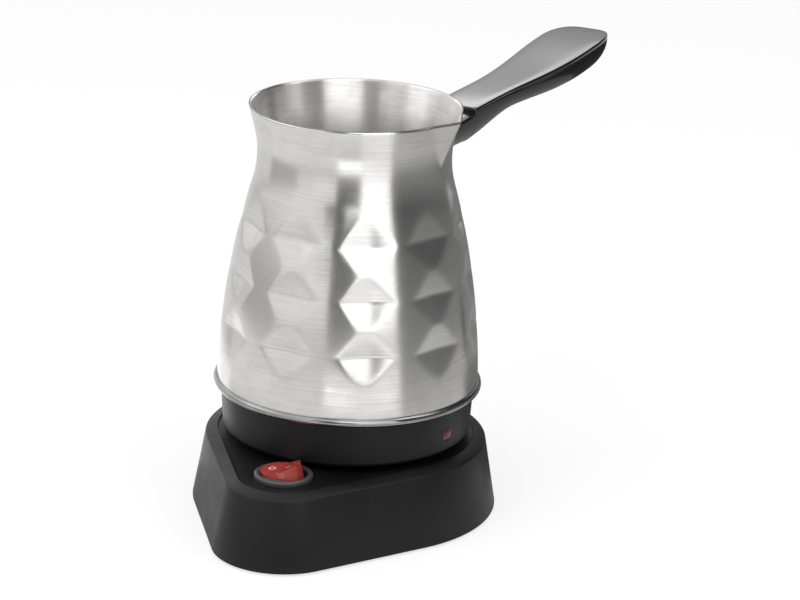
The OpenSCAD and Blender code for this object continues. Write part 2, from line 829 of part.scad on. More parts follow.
module handle_grip() {
    body_steps = 16;
    end_steps = 9;
    xs = concat(
        [for (i = [0 : body_steps]) grip_round_at * i / body_steps],
        [for (i = [1 : end_steps]) grip_round_at + grip_round_len * sin(90 * i / end_steps)]
    );
    sections = [for (x = xs) handle_section(x, grip_half_w(x), grip_top(x), grip_top(x) - grip_thick(x))];
    sink_z = grip_top(handle_screw_x) - grip_thick(handle_screw_x) + handle_screw_sink;
    color([0.06, 0.06, 0.06]) on_handle() difference() {
        loft(sections);
        translate([-1, -tongue_w / 2 - fit, -tongue_top_d - tongue_t - fit])
            cube([tongue_in_grip + 1.5, tongue_w + 2 * fit, tongue_t + 2 * fit]);
        translate([handle_screw_x, 0, -grip_root_t - 1]) {
            cylinder(r = handle_screw_head_r + fit, h = grip_root_t + 1 + sink_z);
            cylinder(r = handle_screw_r + fit, h = grip_root_t - tongue_top_d + 2);
        }
    }
}

module handle_screw() {
    sink_z = grip_top(handle_screw_x) - grip_thick(handle_screw_x) + handle_screw_sink;
    color("silver") on_handle() translate([handle_screw_x, 0, sink_z])
        screw(handle_screw_r, -sink_z - tongue_top_d + 0.6, handle_screw_head_r, handle_screw_head_h);
}

// ---------------------------------------------------------------- the base

module base_housing() {
    color("black") difference() {
        union() {
            difference() {
                union() {
                    teardrop(skirt_z, base_wall_h - skirt_z, lean_at(skirt_z), base_lean);
                    teardrop(base_wall_h, band_rise, base_lean, base_lean + band_w);
                }
                teardrop(deck_z, band_rise + eps, base_lean + band_w, base_lean + band_w);
                teardrop(skirt_z - eps, ceiling_z - skirt_z + eps,
                         base_t + lean_at(skirt_z), base_t + lean_at(ceiling_z));
            }
            cover_post_places() translate([0, 0, cover_top])
                cylinder(r = post_w, h = ceiling_z - cover_top + eps);
            at_angles(hub_screw_angles, hub_screw_ring_r)
                translate([0, 0, ceiling_z - hub_boss_len])
                    cylinder(r = hub_boss_r, h = hub_boss_len + eps);
            bush_frame() translate([0, 0, -bush_boss_t]) cylinder(r = bush_boss_r, h = bush_boss_t);
        }
        cover_post_places() translate([0, 0, cover_top - eps])
            cylinder(r = cover_screw_r, h = cover_screw_bite + 1);
        at_angles(hub_screw_angles, hub_screw_ring_r)
            translate([0, 0, ceiling_z - hub_boss_len - eps]) cylinder(r = hub_screw_r, h = hub_boss_len);
        bush_frame() translate([0, 0, -2 * bush_boss_t])
            cylinder(r = bush_r + fit, h = 3 * bush_boss_t);
        bush_frame() translate([0, 0, -2 * bush_boss_t])
            cylinder(r = bush_r + bush_lip + fit, h = bush_boss_t);
        translate([0, 0, ceiling_z - eps]) cylinder(r = hub_r + fit, h = base_t + 2 * eps);
        translate([0, -tip_reach, ceiling_z - eps])
            cylinder(r = barrel_r + 2 * fit, h = base_t + 2 * eps);
    }
}

// The places of the four posts that the bottom cover is screwed to
module cover_post_places() {
    at_angles(rear_post_angles, rear_post_ring_r) children();
    translate([0, -tip_reach, 0]) at_angles(front_post_angles, front_post_ring_r) children();
}

// The cord bush's frame: its axis along z, pointing out of the rear wall
module bush_frame() {
    translate([0, bush_boss_y, bush_z]) rotate([-90, 0, 0]) children();
}

module bottom_cover() {
    color([0.1, 0.1, 0.1]) difference() {
        teardrop(skirt_z, cover_t,
                 base_t + lean_at(skirt_z) + 2 * fit, base_t + lean_at(cover_top) + 2 * fit);
        cover_post_places() translate([0, 0, skirt_z - eps]) {
            cylinder(r = cover_screw_head_r + 2 * fit, h = cover_screw_head_h + eps);
            cylinder(r = cover_screw_r + fit, h = cover_t + 2 * eps);
        }
        foot_places() translate([0, 0, skirt_z - eps])
            cylinder(r = foot_pad_r + fit, h = foot_pad_h - skirt_z + eps);
        for (i = [-2 : 2])
            translate([i * vent_pitch - vent_w / 2, -vent_len / 2, skirt_z - eps])
                cube([vent_w, vent_len, cover_t + 2 * eps]);
    }
}

module foot_places() {
    at_angles(rear_foot_angles, rear_post_ring_r) children();
    translate([0, -tip_reach, 0]) at_angles(front_foot_angles, front_foot_ring_r) children();
}

module rubber_feet() {
    color([0.2, 0.2, 0.2]) foot_places() {
        cylinder(r1 = foot_pad_r - foot_pad_edge, r2 = foot_pad_r, h = foot_pad_edge);
        translate([0, 0, foot_pad_edge - eps])
            cylinder(r = foot_pad_r, h = foot_pad_h - foot_pad_edge + eps);
    }
}

module cover_screws() {
    color("silver") cover_post_places() translate([0, 0, skirt_z + cover_screw_head_h])
        screw(cover_screw_r, cover_t - cover_screw_head_h + cover_screw_bite,
              cover_screw_head_r, cover_screw_head_h);
}

module hub_socket() {
    flange_z = ceiling_z - hub_boss_len - hub_flange_t;
    color([0.12, 0.12, 0.12]) difference() {
        union() {
            translate([0, 0, hub_body_z]) cylinder(r = hub_r, h = hub_top - hub_body_z);
            translate([0, 0, hub_body_z]) cylinder(r = hub_body_r, h = ceiling_z - hub_body_z);
            translate([0, 0, flange_z]) cylinder(r = hub_flange_r, h = hub_flange_t);
        }
        translate([0, 0, sleeve_floor_z])
            cylinder(r = sleeve_r + fit, h = hub_top - sleeve_floor_z + eps);
        for (r = [earth_ring_r, neutral_ring_r])
            translate([0, 0, hub_top - slot_d]) difference() {
                cylinder(r = r + slot_play, h = slot_d + 1);
                translate([0, 0, -1]) cylinder(r = r - ring_wall - slot_play, h = slot_d + 3);
            }
        contact_pockets();
        at_angles(hub_screw_angles, hub_screw_ring_r) translate([0, 0, flange_z - eps])
            cylinder(r = hub_screw_r + fit, h = hub_flange_t + 2 * eps);
    }
}

// The strips that carry the current, each from its foot to its ring or to the sleeve
module contact_strip(r, top, grow = 0) {
    translate([r - contact_strip_t / 2 - grow, -contact_strip_w / 2 - grow, contact_foot_z])
        cube([contact_strip_t + 2 * grow, contact_strip_w + 2 * grow, top - contact_foot_z]);
}

module contact_pockets() {
    each_contact_place() contact_strip($contact_r, $contact_top + eps, fit);
}

module each_contact_place() {
    union() {
        $contact_r = 0;
        $contact_top = sleeve_floor_z;
        children();
    }
    rotate([0, 0, 90]) {
        $contact_r = earth_ring_r + slot_play - contact_strip_t / 2 - fit;
        $contact_top = hub_top - 2;
        children();
    }
    rotate([0, 0, 210]) {
        $contact_r = neutral_ring_r + slot_play - contact_strip_t / 2 - fit;
        $contact_top = hub_top - 2;
        children();
    }
}

module hub_contacts() {
    color("gold") each_contact_place() contact_strip($contact_r, $contact_top - face_gap);
}

module hub_screws() {
    color("silver") at_angles(hub_screw_angles, hub_screw_ring_r)
        translate([0, 0, ceiling_z - hub_boss_len - hub_flange_t])
            screw(hub_screw_r, hub_flange_t + hub_boss_len - 1, hub_screw_head_r, hub_screw_head_h);
}

module centre_sleeve() {
    color("gold") translate([0, 0, sleeve_floor_z]) difference() {
        cylinder(r = sleeve_r, h = sleeve_top - sleeve_floor_z);
        translate([0, 0, 1.5]) cylinder(r = pin_r + fit, h = sleeve_top - sleeve_floor_z);
    }
}

module cord_bush() {
    color([0.15, 0.15, 0.15]) bush_frame() difference() {
        union() {
            cylinder(r = bush_flange_r, h = bush_flange_t);
            translate([0, 0, -bush_boss_t - eps]) cylinder(r = bush_r, h = bush_boss_t + 2 * eps);
            translate([0, 0, -bush_boss_t - bush_lip_t])
                cylinder(r1 = bush_r, r2 = bush_r + bush_lip, h = bush_lip_t);
        }
        translate([0, 0, -2 * bush_boss_t])
            cylinder(r = cord_bore_r, h = 2 * bush_boss_t + bush_flange_t + eps);
    }
}

// ---------------------------------------------------------------- the switch

module switch_body() {
    color([0.25, 0.25, 0.26]) translate([0, -tip_reach, 0]) difference() {
        union() {
            translate([0, 0, deck_z]) cylinder(r = bezel_r, h = bezel_t - 0.5);
            translate([0, 0, bezel_top - 0.5]) cylinder(r1 = bezel_r, r2 = bezel_r - 0.5, h = 0.5);
            translate([0, 0, barrel_z]) cylinder(r = barrel_r, h = barrel_d + eps);
            for (side = [0, 180]) rotate([0, 0, side]) translate([0, -clip_w / 2, 0])
                rotate([-90, 0, 0]) linear_extrude(clip_w)
                    polygon([
                        [barrel_r - 1, -ceiling_z + face_gap],
                        [barrel_r + clip_out, -ceiling_z + face_gap],
                        [barrel_r - 1, -ceiling_z + 5]
                    ]);
        }
        difference() {
            intersection() {
                translate([0, 0, barrel_z + barrel_floor_t])
                    cylinder(r = cavity_r, h = bezel_top - barrel_z);
                translate([-cavity_r, -cavity_half, barrel_z])
                    cube([2 * cavity_r, 2 * cavity_half, 2 * (bezel_top - barrel_z)]);
            }
            translate([-3, lamp_y - 1, barrel_z]) cube([6, 2, lamp_z - lamp_r - barrel_z]);
        }
        translate([0, 0, pivot_z]) rotate([90, 0, 0])
            cylinder(r = trunnion_r + fit, h = 2 * (cavity_half + trunnion_len), center = true);
        for (x = [-blade_half, 0, blade_half])
            translate([x - terminal_t / 2 - fit, -terminal_w / 2 - fit, barrel_z - 1])
                cube([terminal_t + 2 * fit, terminal_w + 2 * fit, barrel_floor_t + 2]);
    }
}

module switch_terminals() {
    tops = [[-blade_half, contact_top], [0, blade_z - blade_t / 2 - face_gap], [blade_half, barrel_z + 3]];
    color("gold") translate([0, -tip_reach, 0]) {
        for (t = tops) translate([t[0] - terminal_t / 2, -terminal_w / 2, terminal_foot_z])
            cube([terminal_t, terminal_w, t[1] - terminal_foot_z]);
    }
}

module switch_lamp() {
    color("orange") translate([-lamp_len / 2, -tip_reach + lamp_y, lamp_z]) rotate([0, 90, 0]) {
        cylinder(r = lamp_r, h = lamp_len - lamp_r, $fn = few);
        translate([0, 0, lamp_len - lamp_r]) sphere(r = lamp_r, $fn = few);
    }
}

// The lead from the switch's middle terminal to the live contact under the sleeve
module switch_lead() {
    level = cover_top + switch_lead_up;
    color("brown") wire([[0, -tip_reach, terminal_foot_z], [0, -tip_reach, level],
                         [0, 0, level], [0, 0, contact_foot_z]], switch_lead_r);
}

// The rocker's frame: origin on its pivot, x along its length, at rest with the -X side down
module rocker_frame() {
    translate([0, -tip_reach, pivot_z]) rotate([0, -rocker_tilt, 0]) children();
}

// Everything below the rocker's two dished faces, lowered by drop
module under_rocker_faces(drop) {
    for (side = [0, 180]) rotate([0, 0, side])
        intersection() {
            translate([rocker_half, 0, rocker_corner_h - drop]) rotate([0, -rocker_dish, 0])
                translate([-rocker_room, -rocker_room, -rocker_room])
                    cube([1.2 * rocker_room, 2 * rocker_room, rocker_room]);
            translate([-eps, -rocker_room, -rocker_room])
                cube([rocker_room, 2 * rocker_room, 2 * rocker_room]);
        }
}

module rocker() {
    color([0.75, 0.08, 0.05, 0.85]) rocker_frame() {
        difference() {
            intersection() {
                translate([0, 0, -rocker_skirt]) cylinder(r = rocker_r, h = rocker_room);
                translate([-rocker_half, -rocker_room, -rocker_room])
                    cube([2 * rocker_half, 2 * rocker_room, 2 * rocker_room]);
                under_rocker_faces(0);
            }
            intersection() {
                translate([0, 0, -rocker_skirt - 1])
                    cylinder(r = rocker_r - rocker_wall, h = rocker_room);
                translate([-rocker_half + rocker_wall, -rocker_room, -rocker_room])
                    cube([2 * (rocker_half - rocker_wall), 2 * rocker_room, 2 * rocker_room]);
                under_rocker_faces(rocker_wall);
            }
        }
        difference() {
            translate([0, 0, -plunger_guide_d])
                cylinder(r = plunger_guide_r, h = plunger_guide_d + plunger_guide_up);
            translate([0, 0, -plunger_guide_d - 1])
                cylinder(r = plunger_r + fit, h = plunger_guide_d + plunger_bore_up + 1);
        }
        for (side = [-1, 1]) translate([0, side * (rocker_r - 0.4), 0]) rotate([90, 0, 0])
            cylinder(r = trunnion_r, h = 2 * trunnion_len, center = true);
    }
}

module rocker_plunger() {
    color("whitesmoke") rocker_frame() {
        translate([0, 0, -plunger_tip_d])
            cylinder(r = plunger_r, h = plunger_tip_d - plunger_top_d, $fn = few);
        translate([0, 0, -plunger_tip_d]) sphere(r = plunger_r, $fn = few);
    }
}

// A round wire wound on a helix between the plunger and the guide's roof, with eight sides
function spring_ring(i) = let (
        a = 360 * i / spring_steps,
        r = plunger_r - spring_wire_r - fit,
        z = -plunger_top_d + spring_wire_r + fit
            + (plunger_bore_up + plunger_top_d - spring_bottom_d
                - 2 * spring_wire_r - 2 * fit) * i / (spring_turns * spring_steps)
    )
    [for (j = [0 : 7]) let (b = -45 * j, wide = r + spring_wire_r * cos(b))
        [wide * cos(a), wide * sin(a), z + spring_wire_r * sin(b)]];

module plunger_spring() {
    color("silver") rocker_frame() loft([for (i = [0 : spring_turns * spring_steps]) spring_ring(i)]);
}

module contact_blade() {
    color("gold") translate([0, -tip_reach, blade_z]) rotate([0, blade_tilt, 0])
        translate([-blade_half - terminal_t / 2, -blade_w / 2, -blade_t / 2])
            cube([2 * blade_half + terminal_t, blade_w, blade_t]);
}

pot_shell();
trim_ring();
heater_plate();
heating_element();
boil_dry_thermostat();
spacer_posts();
collar();
collar_plate();
collar_screws();
pot_connector();
connector_screws();
centre_pin();
contact_rings();
pot_leads();
pilot_lens();
pilot_lamp();
handle_bracket();
handle_ferrule();
handle_grip();
handle_screw();
centre_sleeve();
base_housing();
bottom_cover();
rubber_feet();
cover_screws();
hub_socket();
hub_screws();
hub_contacts();
cord_bush();
switch_body();
switch_terminals();
switch_lamp();
switch_lead();
rocker();
rocker_plunger();
plunger_spring();
contact_blade();
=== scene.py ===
"""Electric Turkish coffee maker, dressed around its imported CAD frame.

Lengths in the classes are millimetres in the CAD frame: +Z is up, the origin is on the
pot's axis at the table, and the base's tip with the switch points towards -Y.
"""

import logging
import math
from dataclasses import dataclass
from enum import Enum
from typing import Iterable, Sequence

import bmesh
import bpy
from mathutils import Matrix, Vector


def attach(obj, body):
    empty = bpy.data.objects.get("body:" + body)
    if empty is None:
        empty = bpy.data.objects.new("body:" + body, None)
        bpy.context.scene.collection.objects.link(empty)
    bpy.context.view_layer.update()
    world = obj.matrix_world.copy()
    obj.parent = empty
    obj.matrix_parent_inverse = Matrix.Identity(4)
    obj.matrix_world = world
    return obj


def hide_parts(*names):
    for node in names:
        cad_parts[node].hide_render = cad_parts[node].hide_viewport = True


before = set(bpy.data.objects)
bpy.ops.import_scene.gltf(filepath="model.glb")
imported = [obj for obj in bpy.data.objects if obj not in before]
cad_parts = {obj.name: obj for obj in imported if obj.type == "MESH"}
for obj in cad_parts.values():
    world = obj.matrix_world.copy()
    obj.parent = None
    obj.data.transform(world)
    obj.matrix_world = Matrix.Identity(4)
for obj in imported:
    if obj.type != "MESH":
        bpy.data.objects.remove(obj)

LOG = logging.getLogger("coffee_maker")
MM = 0.001
WHITE = (1, 1, 1, 1)
# Vertices that are closer than this are one, in millimetres
HAIR = 0.001
# Edges that turn more than this show as edges, on crisp and on formed pieces
CREASE_DEG, FORMED_CREASE_DEG = 32.0, 50.0
# Faces round a turn, on small, middling and large bodies
FEW, SOME, MANY = 48, 96, 128
Profile = list[tuple[float, float]]
Body, Object, Material = bmesh.types.BMesh, bpy.types.Object, bpy.types.Material
Tree, Node, Socket = bpy.types.NodeTree, bpy.types.Node, bpy.types.NodeSocket


# ------------------------------------------------------------------ mesh helpers


class Cut(Enum):
    """What a tool body does to a work piece."""

    AWAY = "DIFFERENCE"
    JOIN = "UNION"
    KEEP = "INTERSECT"


def at(x: float, y: float, z: float) -> Matrix:
    """Matrix of a move."""
    return Matrix.Translation((x, y, z))


def turned(degrees: float, axis: str) -> Matrix:
    """Matrix of a turn round an axis through the origin."""
    return Matrix.Rotation(math.radians(degrees), 4, axis)


def moved(bm: Body, matrix: Matrix) -> Body:
    """Moves a body by a matrix and returns it."""
    bmesh.ops.transform(bm, matrix=matrix, verts=bm.verts)
    return bm


def box(width: float, depth: float, height: float, middle_z: float) -> Body:
    """A plain box with its middle on the Z axis at middle_z."""
    bm = bmesh.new()
    bmesh.ops.create_cube(bm, size=1.0)
    bmesh.ops.scale(bm, vec=(width, depth, height), verts=bm.verts)
    return moved(bm, at(0, 0, middle_z))


def chain(points: Sequence[Vector]) -> Body:
    """Makes an open wire through some points.

    Args:
        points: The wire's points in order.

    Returns:
        A bmesh with one vertex a point and one edge a step.
    """
    bm = bmesh.new()
    verts = [bm.verts.new(p) for p in points]
    for a, b in zip(verts, verts[1:]):
        bm.edges.new((a, b))
    return bm


def revolve(profile: Profile, steps: int) -> Body:
    """Spins a profile once round the Z axis.

    Args:
        profile: Points as (radius, height).
        steps: Number of faces round the turn.

    Returns:
        The turned body, closed where the profile meets the axis.
    """
    bm = chain([Vector((r, 0, z)) for r, z in profile])
    bmesh.ops.spin(
        bm, geom=bm.verts[:] + bm.edges[:], cent=(0, 0, 0), axis=(0, 0, 1),
        angle=math.tau, steps=steps, use_merge=True,
    )
    bmesh.ops.remove_doubles(bm, verts=bm.verts, dist=HAIR)
    bmesh.ops.recalc_face_normals(bm, faces=bm.faces)
    return bm


def soften(path: Profile, radii: Sequence[float]) -> Profile:
    """Rounds the corners of an open path.

    Args:
        path: The path's corners.
        radii: One fillet radius a corner, 0 to keep it sharp.

    Returns:
        The path with each named corner replaced by an arc of a few chords.
    """
    chords, most_of_side, shortest_side = 4, 0.49, 1e-6
    out: Profile = [path[0]]
    for i in range(1, len(path) - 1):
        corner, r = Vector(path[i]), radii[i]
        a, b = Vector(path[i - 1]) - corner, Vector(path[i + 1]) - corner
        if r <= 0 or min(a.length, b.length) < shortest_side:
            out.append(path[i])
            continue
        half = a.angle(b) / 2
        run = min(r / math.tan(half), a.length * most_of_side, b.length * most_of_side)
        r = run * math.tan(half)
        a, b = a.normalized(), b.normalized()
        centre = corner + (a + b).normalized() * (r / math.sin(half))
        start, end = corner + a * run - centre, corner + b * run - centre
        turn = math.atan2(start.x * end.y - start.y * end.x, start.dot(end))
        for k in range(chords + 1):
            t = turn * k / chords
            out.append((
                centre.x + start.x * math.cos(t) - start.y * math.sin(t),
                centre.y + start.x * math.sin(t) + start.y * math.cos(t),
            ))
    out.append(path[-1])
    return out


def edges_among(bm: Body, verts: Iterable[bmesh.types.BMVert]) -> list[bmesh.types.BMEdge]:
    """The edges of a body that run between two of some vertices."""
    members = set(verts)
    return [e for e in bm.edges if e.verts[0] in members and e.verts[1] in members]


def new_verts(geometry: Iterable) -> list[bmesh.types.BMVert]:
    """The vertices among an operator's results."""
    return [g for g in geometry if isinstance(g, bmesh.types.BMVert)]


def loft(sections: Sequence[Sequence[Vector]]) -> Body:
    """Extrudes a ring through a row of sections and caps both ends.

    Args:
        sections: Rings of points, all with the same number of points.

    Returns:
        The closed body.
    """
    bm = bmesh.new()
    sides = len(sections[0])
    ring = bmesh.ops.create_circle(bm, cap_ends=True, segments=sides, radius=1.0)["verts"]
    for number, section in enumerate(sections):
        if number:
            made = bmesh.ops.extrude_edge_only(bm, edges=edges_among(bm, ring))["geom"]
            fresh = set(new_verts(made))
            ring = [
                next(e.other_vert(v) for e in v.link_edges if e.other_vert(v) in fresh)
                for v in ring
            ]
        for vert, point in zip(ring, section):
            vert.co = point
    bmesh.ops.edgeloop_fill(bm, edges=edges_among(bm, ring))
    bmesh.ops.recalc_face_normals(bm, faces=bm.faces)
    return bm


def drum(r: float, low: float, high: float, steps: int = SOME) -> Body:
    """A plain round tool body between two heights."""
    return revolve([(0, low), (r, low), (r, high), (0, high)], steps)


def add_object(name: str, data: bpy.types.ID) -> Object:
    """Puts a mesh, a light or a camera in the scene as an object of the same name."""
    thing = bpy.data.objects.new(name, data)
    bpy.context.scene.collection.objects.link(thing)
    return thing


def add_body(name: str, bm: Body, *materials: Material) -> Object:
    """Puts a body in the scene.

    Args:
        name: Name of the object and its mesh.
        bm: The body, which is used up.
        materials: Its materials in the order of their indices.

    Returns:
        The object.
    """
    mesh = bpy.data.meshes.new(name)
    bm.to_mesh(mesh)
    bm.free()
    for material in materials:
        mesh.materials.append(material)
    return add_object(name, mesh)


def carve(work: Body, tool: Body, cut: Cut = Cut.AWAY) -> Body:
    """Cuts, joins or keeps a body with a tool body.

    Args:
        work: The work piece, which is used up.
        tool: The tool body, which is used up.
        cut: What the tool does.

    Returns:
        The result.
    """
    holders = [add_body("work", work), add_body("tool", tool)]
    modifier = holders[0].modifiers.new("carve", "BOOLEAN")
    modifier.object, modifier.operation, modifier.solver = holders[1], cut.value, "EXACT"
    graph = bpy.context.evaluated_depsgraph_get()
    result = bpy.data.meshes.new_from_object(holders[0].evaluated_get(graph))
    bm = bmesh.new()
    bm.from_mesh(result)
    bpy.data.meshes.remove(result)
    for holder in holders:
        mesh = holder.data
        bpy.data.objects.remove(holder)
        bpy.data.meshes.remove(mesh)
    return bm


def bevel(bm: Body, edges: Iterable[bmesh.types.BMEdge], width: float, segments: int) -> None:
    """Rounds some edges.

    Args:
        bm: The mesh.
        edges: The edges to round.
        width: Offset of the bevel.
        segments: Number of faces across it.
    """
    bmesh.ops.bevel(
        bm, geom=list(edges), offset=width, offset_type="OFFSET", segments=segments,
        profile=0.5, affect="EDGES", material=-1, clamp_overlap=True,
    )


def shade(bm: Body, limit: float) -> None:
    """Shades a body smooth, apart from edges that turn more than a limit.

    Args:
        bm: The mesh.
        limit: The angle in degrees.
    """
    for face in bm.faces:
        face.smooth = True
    for edge in bm.edges:
        shared = len(edge.link_faces) == 2
        edge.smooth = not shared or edge.calc_face_angle(0.0) < math.radians(limit)


def make_piece(
    name: str, bm: Body, body: str, finishes: Sequence["Finish"],
    stands_for: Sequence[str] = (), limit: float = CREASE_DEG,
) -> Object:
    """Makes a piece of the object from a mesh in millimetres.

    Args:
        name: The piece's name.
        bm: The mesh, which is used up.
        body: The CAD body that it rides on.
        finishes: Its finishes, one a material index.
        stands_for: The CAD nodes that it replaces.
        limit: The angle in degrees past which an edge shows as an edge.

    Returns:
        The piece.
    """
    bmesh.ops.scale(bm, vec=(MM, MM, MM), verts=bm.verts)
    shade(bm, limit)
    piece = add_body(name, bm, *(finish.material() for finish in finishes))
    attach(piece, body)
    if stands_for:
        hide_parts(*stands_for)
    return piece


# ------------------------------------------------------------------ finishes


def srgb(code: str) -> tuple[float, float, float, float]:
    """Turns an sRGB hex colour into linear RGBA.

    Args:
        code: The colour, such as "#c0c0c0".

    Returns:
        Red, green, blue and an alpha of 1.
    """
    parts = [int(code[i:i + 2], 16) / 255 for i in (1, 3, 5)]
    red, green, blue = (c / 12.92 if c <= 0.04045 else ((c + 0.055) / 1.055) ** 2.4 for c in parts)
    return red, green, blue, 1.0


def add_node(
    tree: Tree, kind: str, sockets: dict | None = None, **settings: bool | float | str,
) -> Node:
    """Adds a node with its settings, values and links.

    Args:
        tree: The node tree.
        kind: The node's type, such as "Math".
        sockets: Input values by name or number; an output socket as a value is linked.
        settings: Properties of the node.

    Returns:
        The node.
    """
    node = tree.nodes.new("ShaderNode" + kind)
    for key, value in settings.items():
        setattr(node, key, value)
    for key, value in (sockets or {}).items():
        if isinstance(value, Socket):
            tree.links.new(value, node.inputs[key])
        else:
            node.inputs[key].default_value = value
    return node


def emptied_tree(holder: Material | bpy.types.World) -> Tree:
    """Gives a material or a world a node tree with nothing in it and returns the tree."""
    holder.use_nodes = True
    holder.node_tree.nodes.clear()
    return holder.node_tree


# The middle of a noise's range, where most of its values lie
NOISE_LOW, NOISE_HIGH = 0.3, 0.7
NOISE_ROUGHNESS = 0.55
# Length of one band of a wave texture at scale 1
WAVE_LENGTH = 0.314


@dataclass(frozen=True)
class Finish:
    """A surface finish. Patterns are sized in millimetres and read Object coordinates."""

    name: str
    colour: str
    roughness: float
    second: str
    grain_mm: float = 0.6
    grain_depth_mm: float = 0.01
    patch_mm: float = 14.0
    metallic: float = 0.0
    ior: float = 1.5
    roughness_spread: float = 0.06
    coat: float = 0.0
    coat_roughness: float = 0.03
    specular: float = 0.5

    def material(self) -> Material:
        """Builds the material once and returns it."""
        found = bpy.data.materials.get(self.name)
        if found:
            return found
        material = bpy.data.materials.new(self.name)
        tree = emptied_tree(material)
        shader = add_node(tree, "BsdfPrincipled", {
            "Base Color": srgb(self.colour), "Roughness": self.roughness,
            "Metallic": self.metallic, "IOR": self.ior,
            "Coat Weight": self.coat, "Coat Roughness": self.coat_roughness,
            "Specular IOR Level": self.specular,
        })
        place = add_node(tree, "TexCoord").outputs["Object"]
        self.dress(tree, shader, place)
        add_node(tree, "OutputMaterial", {"Surface": shader.outputs["BSDF"]})
        return material

    def noise(self, tree: Tree, vector: Socket, size_mm: float, detail: float = 3.0) -> Socket:
        """Adds a noise whose grains are about size_mm across.

        Args:
            tree: The node tree.
            vector: The coordinates.
            size_mm: Size of a grain.
            detail: Finer octaves.

        Returns:
            The noise's value socket.
        """
        node = add_node(tree, "TexNoise", {
            "Vector": vector, "Scale": 1 / (size_mm * MM), "Detail": detail,
            "Roughness": NOISE_ROUGHNESS,
        })
        return node.outputs["Fac"]

    def spread(self, tree: Tree, value: Socket, low: float, high: float) -> Socket:
        """Maps the middle of a noise's range to low..high.

        Args:
            tree: The node tree.
            value: The noise.
            low: The result at NOISE_LOW.
            high: The result at NOISE_HIGH.

        Returns:
            The mapped value socket.
        """
        node = add_node(tree, "MapRange", {
            "Value": value, "From Min": NOISE_LOW, "From Max": NOISE_HIGH,
            "To Min": low, "To Max": high,
        })
        return node.outputs["Result"]

    def tint(self, tree: Tree, shader: Node, factor: Socket) -> None:
        """Blends the two colours by a factor and links them to the shader."""
        colours = {0: factor, 6: srgb(self.colour), 7: srgb(self.second)}
        node = add_node(tree, "Mix", colours, data_type="RGBA")
        tree.links.new(node.outputs[2], shader.inputs["Base Color"])

    def bump(self, tree: Tree, shader: Node, height: Socket) -> None:
        """Adds a bump of the grain's real depth and links it to the shader."""
        node = add_node(tree, "Bump", {
            "Height": height, "Distance": self.grain_depth_mm * MM, "Strength": 1.0,
        })
        tree.links.new(node.outputs["Normal"], shader.inputs["Normal"])

    def cloud(self, tree: Tree, shader: Node, value: Socket) -> None:
        """Lets a noise vary the colour and the roughness over the surface."""
        self.tint(tree, shader, self.spread(tree, value, 0.0, 1.0))
        low, high = self.roughness - self.roughness_spread, self.roughness + self.roughness_spread
        tree.links.new(self.spread(tree, value, low, high), shader.inputs["Roughness"])

    def dress(self, tree: Tree, shader: Node, place: Socket) -> None:
        """Links this finish's patterns to the shader.

        Args:
            tree: The node tree.
            shader: The Principled shader.
            place: The Object coordinates.
        """
        self.cloud(tree, shader, self.noise(tree, place, self.patch_mm, 2.0))
        self.bump(tree, shader, self.noise(tree, place, self.grain_mm))


@dataclass(frozen=True)
class BrushedSteel(Finish):
    """Stainless steel brushed round the Z axis: its hairlines draw highlights upright."""

    line_mm: float = 0.55
    run_mm: float = 26.0
    anisotropy: float = 0.75
    quarter_turn: float = 0.25
    smudge_share: float = 0.35

    def dress(self, tree: Tree, shader: Node, place: Socket) -> None:
        """Links the hairlines, the smudges and the brushing's direction to the shader."""
        squeeze = self.line_mm / self.run_mm
        stretched = add_node(tree, "Mapping", {
            "Vector": place, "Scale": (squeeze, squeeze, 1.0),
        }).outputs["Vector"]
        hairs = self.noise(tree, stretched, self.line_mm, 4.0)
        smudges = self.noise(tree, place, self.patch_mm)
        both = add_node(
            tree, "Mix", {0: self.smudge_share, 2: hairs, 3: smudges}, data_type="FLOAT")
        self.cloud(tree, shader, both.outputs[0])
        self.bump(tree, shader, hairs)
        shader.inputs["Anisotropic"].default_value = self.anisotropy
        shader.inputs["Anisotropic Rotation"].default_value = self.quarter_turn
        tangent = add_node(tree, "Tangent", direction_type="RADIAL", axis="Z")
        tree.links.new(tangent.outputs["Tangent"], shader.inputs["Tangent"])


@dataclass(frozen=True)
class ClearMoulding(Finish):
    """Tinted polycarbonate moulding: deep colour that glows a little where light enters it."""

    depth_mm: float = 1.2
    scatter: float = 0.35
    reach: tuple[float, float, float] = (1.0, 0.25, 0.2)

    def dress(self, tree: Tree, shader: Node, place: Socket) -> None:
        """Links the colour patches and sets the light that scatters inside."""
        Finish.dress(self, tree, shader, place)
        shader.inputs["Subsurface Weight"].default_value = self.scatter
        shader.inputs["Subsurface Radius"].default_value = self.reach
        shader.inputs["Subsurface Scale"].default_value = self.depth_mm * MM


@dataclass(frozen=True)
class Braid(Finish):
    """Glass-fibre sleeving on a lead: a fine diagonal braid."""

    pitch_mm: float = 1.2
    unevenness: float = 0.6

    def dress(self, tree: Tree, shader: Node, place: Socket) -> None:
        """Links the braid and its colour to the shader."""
        waves = add_node(tree, "TexWave", {
            "Vector": place, "Scale": WAVE_LENGTH / (self.pitch_mm * MM),
            "Distortion": self.unevenness, "Detail": 1.0,
        }, bands_direction="DIAGONAL").outputs["Fac"]
        self.tint(tree, shader, waves)
        self.bump(tree, shader, waves)


